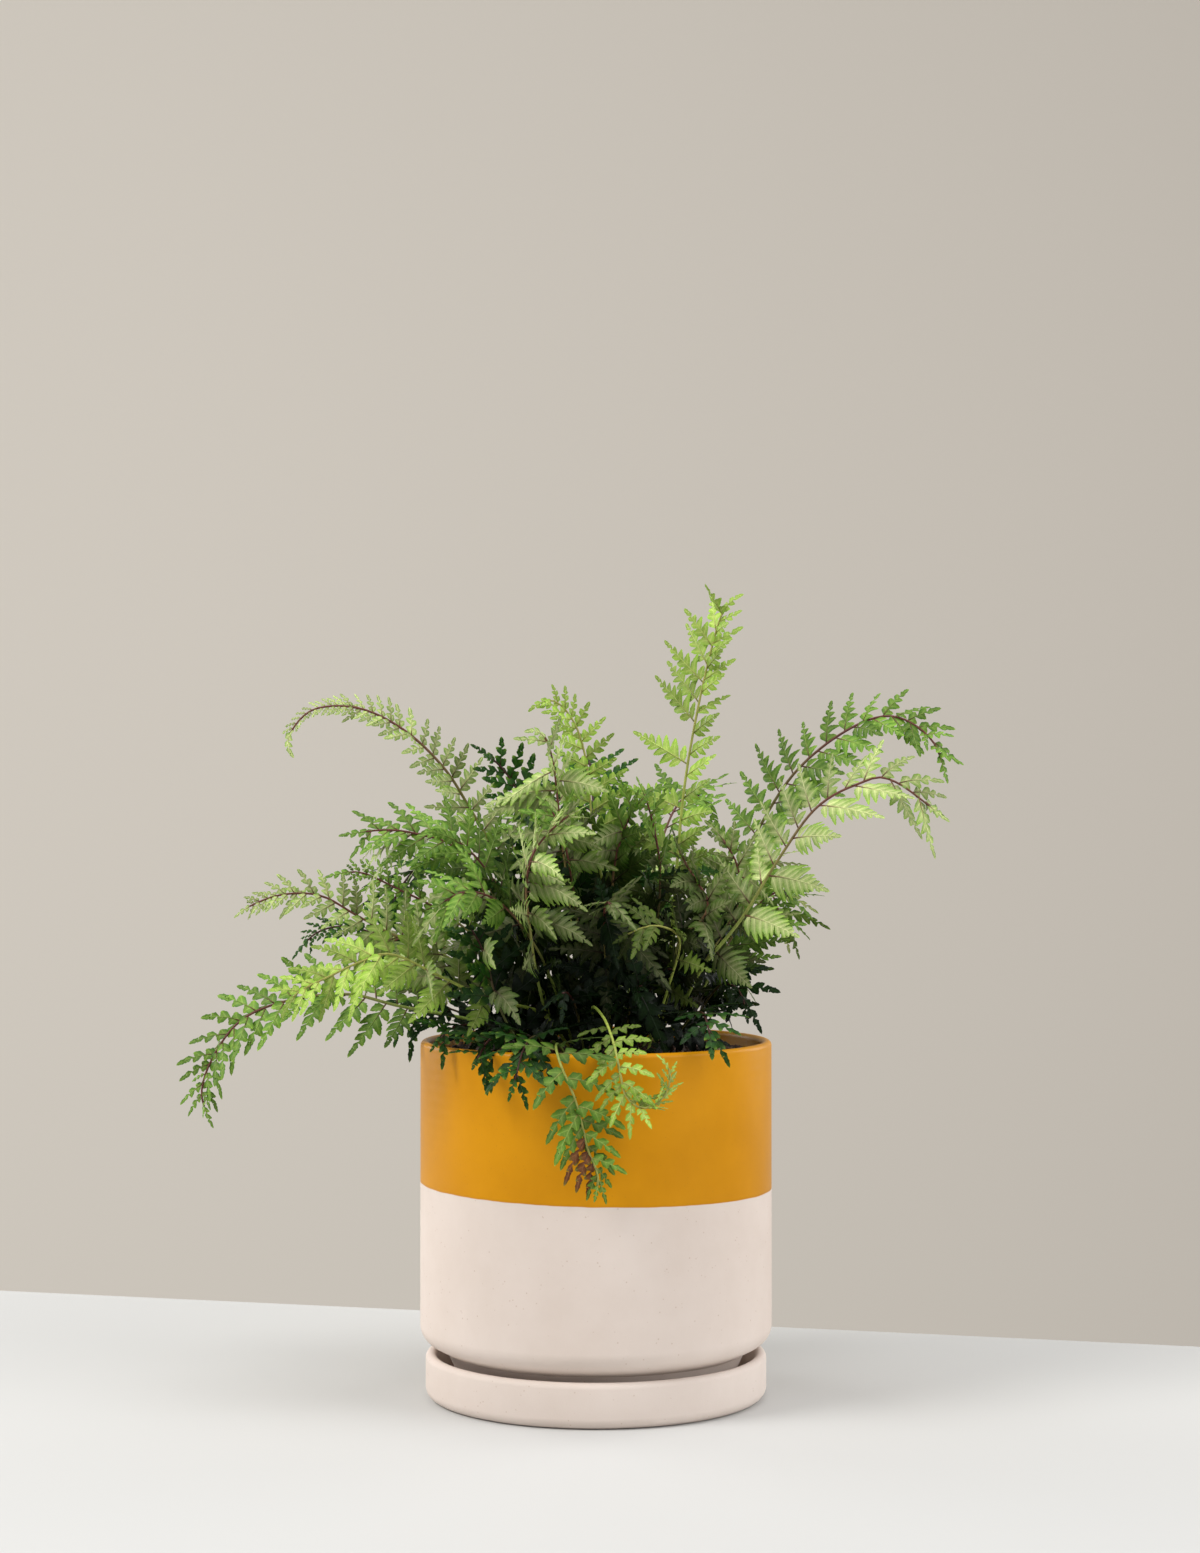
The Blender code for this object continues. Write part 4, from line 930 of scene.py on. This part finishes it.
def mesh_object(name, growth, materials):
    mesh = bpy.data.meshes.new(name)
    mesh.from_pydata(growth.points, [], growth.faces)
    tint = mesh.color_attributes.new("tint", "FLOAT_COLOR", "POINT")
    tint.data.foreach_set("color", np.array(growth.tints, np.float32).ravel())
    corners = np.empty(len(mesh.loops), np.int32)
    mesh.loops.foreach_get("vertex_index", corners)
    blade = mesh.uv_layers.new(name="blade")
    blade.data.foreach_set("uv", np.array(growth.places, np.float32)[corners].ravel())
    for material in materials:
        mesh.materials.append(material)
    mesh.polygons.foreach_set("material_index", np.array(growth.kinds, np.int32))
    mesh.shade_smooth()
    mesh.update()
    return link_object(name, mesh)


def link_object(name, data):
    obj = bpy.data.objects.new(name, data)
    bpy.context.scene.collection.objects.link(obj)
    return obj


# Materials

LEAF_ROUGHNESS = 0.42
LEAF_THROUGH = 0.15  # share of a leaf's look that is light coming through it
MOTTLING = (0.78, 1.2)


def add_node(tree, kind, inputs=(), **settings):
    """A node with its settings, and its inputs as pairs of a socket's name or number and what feeds it."""
    made = tree.nodes.new(kind)
    for name, value in settings.items():
        setattr(made, name, value)
    for name, value in inputs:
        if isinstance(value, bpy.types.NodeSocket):
            tree.links.new(value, made.inputs[name])
        else:
            made.inputs[name].default_value = value
    return made


def blank_material(name, specular=0.5):
    material = bpy.data.materials.new(name)
    material.use_nodes = True
    tree = material.node_tree
    shader = tree.nodes["Principled BSDF"]
    shader.inputs["Specular IOR Level"].default_value = specular
    return material, tree, shader


def wire(tree, shader, inputs):
    for name, socket in inputs:
        tree.links.new(socket, shader.inputs[name])


def mixed(tree, factor, first, second, blend_type="MIX"):
    """A colour mix. The two colours may be values or links, and so may the factor."""
    inputs = ((0, factor), (6, first), (7, second))
    return add_node(tree, "ShaderNodeMix", inputs, data_type="RGBA", blend_type=blend_type).outputs[2]


def maths(tree, operation, *values):
    return add_node(tree, "ShaderNodeMath", enumerate(values), operation=operation).outputs[0]


def spread(tree, value, low, high, to_low, to_high):
    """A value carried from one range to another, and held at its ends."""
    names = ("Value", "From Min", "From Max", "To Min", "To Max")
    inputs = zip(names, (value, low, high, to_low, to_high))
    return add_node(tree, "ShaderNodeMapRange", inputs).outputs[0]


def from_noise(tree, noise_value, to_low, to_high):
    """The range in which most of a noise lies, carried to another."""
    return spread(tree, noise_value, 0.3, 0.7, to_low, to_high)


def grain(tree, place, scale, detail=4, roughness=0.6):
    inputs = (("Vector", place), ("Scale", scale), ("Detail", detail), ("Roughness", roughness))
    return add_node(tree, "ShaderNodeTexNoise", inputs).outputs[0]


def grey(tree, value):
    """A colour of equal parts, from a number."""
    return add_node(tree, "ShaderNodeCombineColor", ((0, value), (1, value), (2, value))).outputs[0]


def times(tree, first, second):
    return maths(tree, "MULTIPLY", first, second)


def own_place(tree):
    """Each point's place, in metres."""
    return add_node(tree, "ShaderNodeTexCoord").outputs["Object"]


def own_tint(tree):
    """The colour that a mesh keeps for each of its points."""
    return add_node(tree, "ShaderNodeAttribute", attribute_name="tint").outputs["Color"]


def surface(tree, shader, colour, gloss, height, strength, distance):
    """Wires a finish to its shader, with its fine relief as bump, and gives the bumped normal."""
    inputs = (("Height", height), ("Strength", strength), ("Distance", distance))
    normal = add_node(tree, "ShaderNodeBump", inputs).outputs[0]
    wire(tree, shader, (("Base Color", colour), ("Roughness", gloss), ("Normal", normal)))
    return normal


def leaf_material(name):
    """A leaf: its colour is each point's own, with pale veins, a fine grain and light coming through."""
    material, tree, shader = blank_material(name, specular=0.13)
    tint = own_tint(tree)
    place = own_place(tree)
    blade = add_node(tree, "ShaderNodeUVMap", uv_map="blade").outputs[0]
    split = add_node(tree, "ShaderNodeSeparateXYZ", ((0, blade),))
    off_middle = maths(tree, "ABSOLUTE", maths(tree, "SUBTRACT", split.outputs[1], 0.5))
    midvein = spread(tree, off_middle, 0.02, 0.07, 1, 0)
    slanted = maths(tree, "SUBTRACT", times(tree, split.outputs[0], 5), off_middle)
    beat = maths(tree, "PINGPONG", slanted, 0.5)
    sidevein = spread(tree, beat, 0.0, 0.12, 0.55, 0)
    vein = maths(tree, "MAXIMUM", midvein, sidevein)
    coarse = from_noise(tree, grain(tree, place, 160), *MOTTLING)
    fine = from_noise(tree, grain(tree, place, 1500), 0.9, 1.1)
    mottled = mixed(tree, 1, tint, grey(tree, times(tree, coarse, fine)), "MULTIPLY")
    pale = mixed(tree, 1, tint, (1.5, 1.4, 1.5, 1), "MULTIPLY")
    colour = mixed(tree, times(tree, vein, 0.7), mottled, pale)
    height = maths(tree, "SUBTRACT", times(tree, fine, 0.4), vein)
    gloss = spread(tree, coarse, *MOTTLING, LEAF_ROUGHNESS - 0.08, LEAF_ROUGHNESS + 0.1)
    normal = surface(tree, shader, colour, gloss, height, 0.35, 0.2 * MM)
    glow = add_node(tree, "ShaderNodeBsdfTranslucent", (("Color", colour), ("Normal", normal))).outputs[0]
    inputs = ((0, LEAF_THROUGH), (1, shader.outputs[0]), (2, glow))
    both = add_node(tree, "ShaderNodeMixShader", inputs).outputs[0]
    tree.links.new(both, tree.nodes["Material Output"].inputs["Surface"])
    return material


def stalk_material():
    material, tree, shader = blank_material("stalk", specular=0.25)
    tint = own_tint(tree)
    place = own_place(tree)
    streaks = add_node(tree, "ShaderNodeMapping", (("Vector", place), ("Scale", (1, 1, 0.15)))).outputs[0]
    shade = grain(tree, streaks, 900)
    colour = mixed(tree, 1, tint, grey(tree, from_noise(tree, shade, 0.75, 1.25)), "MULTIPLY")
    gloss = from_noise(tree, shade, 0.36, 0.55)
    surface(tree, shader, colour, gloss, shade, 0.4, 0.15 * MM)
    return material


def clay_colour(tree, place):
    """Bare fired clay, as (colour, height): pale, faintly mottled, with fine darker specks."""
    cloud = grain(tree, place, 18, 5)
    base = mixed(tree, from_noise(tree, cloud, 0, 1), (0.70, 0.595, 0.525, 1), (0.77, 0.67, 0.605, 1))
    cells = add_node(tree, "ShaderNodeTexVoronoi", (("Vector", place), ("Scale", 420)))
    speck = spread(tree, cells.outputs["Distance"], 0.1, 0.2, 1, 0)
    chosen = spread(tree, grain(tree, place, 260, 1), 0.56, 0.62, 0, 0.55)
    colour = mixed(tree, times(tree, speck, chosen), base, (0.50, 0.36, 0.27, 1))
    height = maths(tree, "ADD", grain(tree, place, 1300, 3), times(tree, cloud, 0.5))
    return colour, height


def clay_material():
    material, tree, shader = blank_material("bare_clay")
    place = own_place(tree)
    colour, height = clay_colour(tree, place)
    gloss = from_noise(tree, grain(tree, place, 90), 0.72, 0.88)
    surface(tree, shader, colour, gloss, height, 0.3, 0.2 * MM)
    return material


def pot_material():
    """Mustard glaze above a slightly slanted line, bare clay below it."""
    material, tree, shader = blank_material("half_glazed_clay", specular=0.15)
    place = own_place(tree)
    split = add_node(tree, "ShaderNodeSeparateXYZ", ((0, place),))
    waver = times(tree, maths(tree, "SUBTRACT", grain(tree, place, 60, 2), 0.5), 0.9 * MM)
    slant = times(tree, split.outputs[0], GLAZE_SLANT)
    line = maths(tree, "ADD", maths(tree, "ADD", slant, GLAZE_LINE), waver)
    over = maths(tree, "SUBTRACT", split.outputs[2], line)
    glazed = spread(tree, over, -0.15 * MM, 0.15 * MM, 0, 1)
    clay, clay_height = clay_colour(tree, place)
    cloud = grain(tree, place, 14, 6)
    glaze = mixed(tree, from_noise(tree, cloud, 0, 1), (0.56, 0.228, 0.0008, 1), (0.68, 0.29, 0.0015, 1))
    pooled = spread(tree, over, 0, 1.6 * MM, 0.35, 0)
    glaze = mixed(tree, pooled, glaze, (0.42, 0.17, 0.004, 1))
    flecks = add_node(tree, "ShaderNodeTexVoronoi", (("Vector", place), ("Scale", 300)))
    fleck = spread(tree, flecks.outputs["Distance"], 0.06, 0.14, 0.3, 0)
    glaze = mixed(tree, fleck, glaze, (0.45, 0.19, 0.01, 1))
    colour = mixed(tree, glazed, clay, glaze)
    bands = (("Vector", place), ("Scale", 60), ("Distortion", 2))
    rings = add_node(tree, "ShaderNodeTexWave", bands, bands_direction="Z").outputs["Fac"]
    glaze_height = maths(tree, "ADD", times(tree, grain(tree, place, 220, 3), 0.5), rings)
    raised = maths(tree, "ADD", glaze_height, 1.2)
    height = mixed(tree, glazed, grey(tree, clay_height), grey(tree, raised))
    satin = from_noise(tree, cloud, 0.30, 0.42)
    gloss = mixed(tree, glazed, (0.8, 0.8, 0.8, 1), grey(tree, satin))
    surface(tree, shader, colour, gloss, height, 0.25, 0.12 * MM)
    return material


def soil_material():
    material, tree, shader = blank_material("bark_mix")
    tint = own_tint(tree)
    place = own_place(tree)
    fibre = grain(tree, place, 700, 6, 0.7)
    colour = mixed(tree, 1, tint, grey(tree, from_noise(tree, fibre, 0.45, 1.5)), "MULTIPLY")
    gloss = from_noise(tree, fibre, 0.7, 0.95)
    surface(tree, shader, colour, gloss, fibre, 0.7, 0.4 * MM)
    return material


# Pot, saucer and potting mix

def turned(name, profile, material, closed):
    """A piece turned about Z from a profile that runs down its outer side, closed into a loop or not."""
    points, faces, rows = [], [], []
    for radius, height in profile:
        if radius < 0.01 * MM:
            rows.append([len(points)])
            points.append((0, 0, height))
            continue
        rows.append(list(range(len(points), len(points) + TURNED_STEPS)))
        for step in range(TURNED_STEPS):
            turn = math.tau * step / TURNED_STEPS
            points.append((radius * math.cos(turn), radius * math.sin(turn), height))
    pairs = list(zip(rows, rows[1:])) + ([(rows[-1], rows[0])] if closed else [])
    for upper, lower in pairs:
        for step in range(TURNED_STEPS):
            after = (step + 1) % TURNED_STEPS
            corners = [upper[after % len(upper)], upper[step % len(upper)],
                       lower[step % len(lower)], lower[after % len(lower)]]
            faces.append(tuple(dict.fromkeys(corners)))
    mesh = bpy.data.meshes.new(name)
    mesh.from_pydata(points, [], faces)
    mesh.materials.append(material)
    mesh.shade_smooth()
    mesh.set_sharp_from_angle(angle=math.radians(SHARP_ANGLE))
    return link_object(name, mesh)


def make_saucer():
    inside = SAUCER_RADIUS - SAUCER_WALL
    lip = SAUCER_WALL / 2
    profile = [(0, SAUCER_FLOOR), (inside - SAUCER_COVE, SAUCER_FLOOR)]
    cove_centre = (inside - SAUCER_COVE, SAUCER_FLOOR + SAUCER_COVE)
    profile += arc(cove_centre, SAUCER_COVE, -75, 0, 5)
    profile += arc((SAUCER_RADIUS - lip, SAUCER_HEIGHT - lip), lip, 180, 0, 12)
    profile += arc((SAUCER_RADIUS - SAUCER_CORNER, SAUCER_CORNER), SAUCER_CORNER, 0, -90, 8)
    profile += [(0, 0)]
    return turned("clay_saucer", profile, clay_material(), closed=False)


def make_pot():
    lip = POT_WALL / 2
    corner_centre = (POT_RADIUS - POT_CORNER, POT_CORNER_TOP)
    inner_corner = corner_centre[0] + POT_CORNER - POT_WALL
    floor = POT_BOTTOM + POT_FLOOR
    profile = arc((POT_RADIUS - lip, POT_TOP - lip), lip, 180, 0, 12)
    profile += arc(corner_centre, POT_CORNER, 0, -POT_CORNER_TURN, 12)
    profile += [(FOOT_TOP_RADIUS, FOOT_TOP), (FOOT_RADIUS, POT_BOTTOM), (DRAIN_RADIUS, POT_BOTTOM)]
    profile += [(DRAIN_RADIUS, floor), (foot_inside_radius(floor), floor)]
    profile += [(foot_inside_radius(FOOT_TOP), FOOT_TOP + POT_WALL)]
    profile += [(inner_corner, POT_CORNER_TOP + POT_WALL)]
    return turned("half_glazed_pot", profile, pot_material(), closed=True)


BARK = ((0.020, 0.012, 0.008), (0.045, 0.024, 0.014), (0.09, 0.04, 0.02), (0.15, 0.065, 0.035),
        (0.24, 0.15, 0.09))
BARK_SHARES = (5, 6, 4, 2, 0.6)  # how often a bit of bark has each of these colours
SOIL_RINGS = 30
SOIL_SPOKES = 96
SOIL_SINK = 0.6 * MM  # how far the middle of the lumps lies under the CAD mound
SOIL_SKIRT = 20 * MM


def lumps(x, y):
    """How far the potting mix stands up over a point, in wide lumps and small ones."""
    wide = noise.noise(Vector((x, y, 0)) * 160) * 1.3 * MM
    small = noise.noise(Vector((x, y, 5)) * 420) * 0.7 * MM
    return wide + small


def make_soil():
    """A lumpy mound with bits of bark lying on it."""
    growth = Growth()
    draw = random.Random("potting mix")
    radius = POT_RADIUS - POT_WALL - SOIL_GAP
    centre = growth.point(Vector((0, 0, soil_height(0, 0))), BARK[1], 0, 0)
    before = None
    for ring in range(1, SOIL_RINGS + 1):
        row = []
        for spoke in range(SOIL_SPOKES):
            turn = math.tau * spoke / SOIL_SPOKES
            x = radius * ring / SOIL_RINGS * math.cos(turn)
            y = radius * ring / SOIL_RINGS * math.sin(turn)
            place = Vector((x, y, soil_height(x, y) + lumps(x, y) - SOIL_SINK))
            row.append(growth.point(place, BARK[draw.randrange(3)], 0, 0))
        for spoke in range(SOIL_SPOKES):
            after = (spoke + 1) % SOIL_SPOKES
            if before:
                growth.face((before[spoke], row[spoke], row[after], before[after]), 0)
            else:
                growth.face((centre, row[spoke], row[after]), 0)
        before = row
    skirt = []
    for spoke in range(SOIL_SPOKES):
        turn = math.tau * spoke / SOIL_SPOKES
        place = Vector((radius * math.cos(turn), radius * math.sin(turn), SOIL_EDGE - SOIL_SKIRT))
        skirt.append(growth.point(place, BARK[0], 0, 0))
    for spoke in range(SOIL_SPOKES):
        after = (spoke + 1) % SOIL_SPOKES
        growth.face((before[spoke], skirt[spoke], skirt[after], before[after]), 0)
    for _ in range(CHIPS):
        add_chip(growth, draw, radius)
    return mesh_object("bark_potting_mix", growth, [soil_material()])


def add_chip(growth, draw, radius):
    turn = draw.uniform(0, math.tau)
    out = (radius - 4 * MM) * math.sqrt(draw.random())
    x, y = out * math.cos(turn), out * math.sin(turn)
    size = Vector((draw.uniform(1, 3.6), draw.uniform(0.6, 1.8), draw.uniform(0.35, 0.9))) * MM
    spin = Matrix.Rotation(draw.uniform(0, math.tau), 3, "Z")
    spin = spin @ Matrix.Rotation(draw.gauss(0, 0.35), 3, "X")
    spin = spin @ Matrix.Rotation(draw.gauss(0, 0.35), 3, "Y")
    place = Vector((x, y, soil_height(x, y) + draw.uniform(-0.2, 1.0) * MM))
    tint = dimmed(draw.choices(BARK, weights=BARK_SHARES)[0], draw.uniform(0.7, 1.3))
    corners = []
    for a in (-1, 1):
        for b in (-1, 1):
            for c in (-1, 1):
                x_share, y_share = draw.uniform(0.6, 1), draw.uniform(0.6, 1)
                corner = Vector((a * size.x * x_share, b * size.y * y_share, c * size.z))
                corners.append(growth.point(place + spin @ corner, tint, 0, 0))
    for face in ((0, 1, 3, 2), (4, 6, 7, 5), (0, 4, 5, 1), (2, 3, 7, 6), (0, 2, 6, 4), (1, 5, 7, 3)):
        growth.face(tuple(corners[i] for i in face), 0)


# Stage, lights and camera

TABLE = ((-2.5, -2.5, 0), (2.5, -2.5, 0), (2.5, -0.62, 0), (0.8, 0.0, 0), (-0.6, 0.36, 0), (-2.5, 0.8, 0))
TABLE_COLOUR = (0.565, 0.565, 0.555)
WALL = ((-6, 3, -3), (6, 3, -3), (6, 3, 5), (-6, 3, 5))
# Painted light on the wall: lighter at its left, nearer the key lamp, and darker at its right, and its glow
# carries the same painted falloff
WALL_LEFT = (0.59, 0.545, 0.48)
WALL_RIGHT = (0.48, 0.44, 0.385)
WALL_GLOW = 0.43
STAGE_REACH = 1.2  # how far from the middle a stage piece has reached its left or right colour
SKY_COLOUR = (0.97, 0.98, 1.0, 1)
SKY_STRENGTH = 0.4
LIGHTS_AIM = Vector((0, 0, 0.2))


def add_plane(name, corners, left, right, roughness, glow=0):
    """A flat piece of the stage, whose colour goes from one at its left to another at its right."""
    mesh = bpy.data.meshes.new(name)
    mesh.from_pydata(corners, [], [tuple(range(len(corners)))])
    material, tree, shader = blank_material(name)
    place = own_place(tree)
    across = add_node(tree, "ShaderNodeSeparateXYZ", ((0, place),)).outputs[0]
    colour = mixed(tree, spread(tree, across, -STAGE_REACH, STAGE_REACH, 0, 1), (*left, 1), (*right, 1))
    wire(tree, shader, (("Base Color", colour), ("Emission Color", colour)))
    shader.inputs["Roughness"].default_value = roughness
    shader.inputs["Emission Strength"].default_value = glow
    mesh.materials.append(material)
    obj = link_object(name, mesh)


def add_light(name, place, size, energy, colour=(1, 1, 1)):
    light = bpy.data.lights.new(name, "AREA")
    light.shape = "DISK"
    light.size = size
    light.energy = energy
    light.color = colour
    obj = link_object(name, light)
    obj.location = place
    obj.rotation_euler = (LIGHTS_AIM - Vector(place)).to_track_quat("-Z", "Y").to_euler()


def build_stage():
    add_plane("table_top", TABLE, TABLE_COLOUR, TABLE_COLOUR, 0.6)
    add_plane("wall", WALL, WALL_LEFT, WALL_RIGHT, 0.9, glow=WALL_GLOW)
    world = bpy.data.worlds.new("studio")
    bpy.context.scene.world = world
    bpy.context.scene.view_settings.view_transform = "Standard"
    world.use_nodes = True
    background = world.node_tree.nodes["Background"]
    background.inputs[0].default_value = SKY_COLOUR
    background.inputs[1].default_value = SKY_STRENGTH
    add_light("key", (-1.5, -0.8, 1.7), 1.0, 36, (1, 0.99, 0.97))
    add_light("top", (0.1, -0.2, 2.1), 1.0, 14)
    add_light("fill", (1.5, -0.8, 1.1), 1.4, 18)
    add_light("left_edge", (-1.3, 0.9, 0.6), 0.9, 8)
    add_light("right_edge", (1.3, 0.9, 0.6), 0.9, 6)


def build_camera():
    camera = bpy.data.cameras.new("camera")
    camera.sensor_fit = "VERTICAL"
    camera.sensor_height = CAMERA_SENSOR
    camera.lens = CAMERA_LENS
    camera.shift_x = CAMERA_SHIFT
    obj = link_object("camera", camera)
    obj.location = (0, -EYE_DISTANCE * MM, EYE_HEIGHT * MM)
    obj.rotation_euler = (math.radians(CAMERA_TURN), 0, 0)
    bpy.context.scene.camera = obj


def dress(piece, node):
    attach(piece, "root")
    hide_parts(node)


def node_space(space, node):
    """Takes the space of a CAD node."""
    mesh = node.data
    points = [vertex.co.copy() for vertex in mesh.vertices]
    space.add(points, [tuple(face.vertices) for face in mesh.polygons])


def main():
    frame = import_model()
    fronds = [frond._replace(route=[from_view(*point) for point in frond.route]) for frond in SEEN_FRONDS]
    fronds += [hidden_frond(number, row) for number, row in enumerate(HIDDEN_FRONDS)]
    space = Space()
    node_space(space, frame["nodes"]["pot"])
    first_rib = len(space.taken)
    ribs = place_ribs(fronds, space)
    node_space(space, frame["nodes"]["soil"])
    foliage = place_pinnae(ribs, first_rib, space)
    place_more(ribs, foliage, first_rib, space)
    place_hanging(ribs, foliage, first_rib, space, FACE)
    place_hanging(ribs, foliage, first_rib, space, UNDER)
    leaves = {tone: leaf_material(f"leaf_{tone}") for tone in TONES}
    stalk = stalk_material()
    for rib, placed in zip(ribs, foliage):
        name = rib.frond.name
        piece = mesh_object(f"{name}_grown", grow_frond(rib, placed), [leaves[rib.frond.tone], stalk])
        dress(piece, name)
    dress(make_pot(), "pot")
    dress(make_saucer(), "saucer")
    dress(make_soil(), "soil")
    build_stage()
    build_camera()


main()
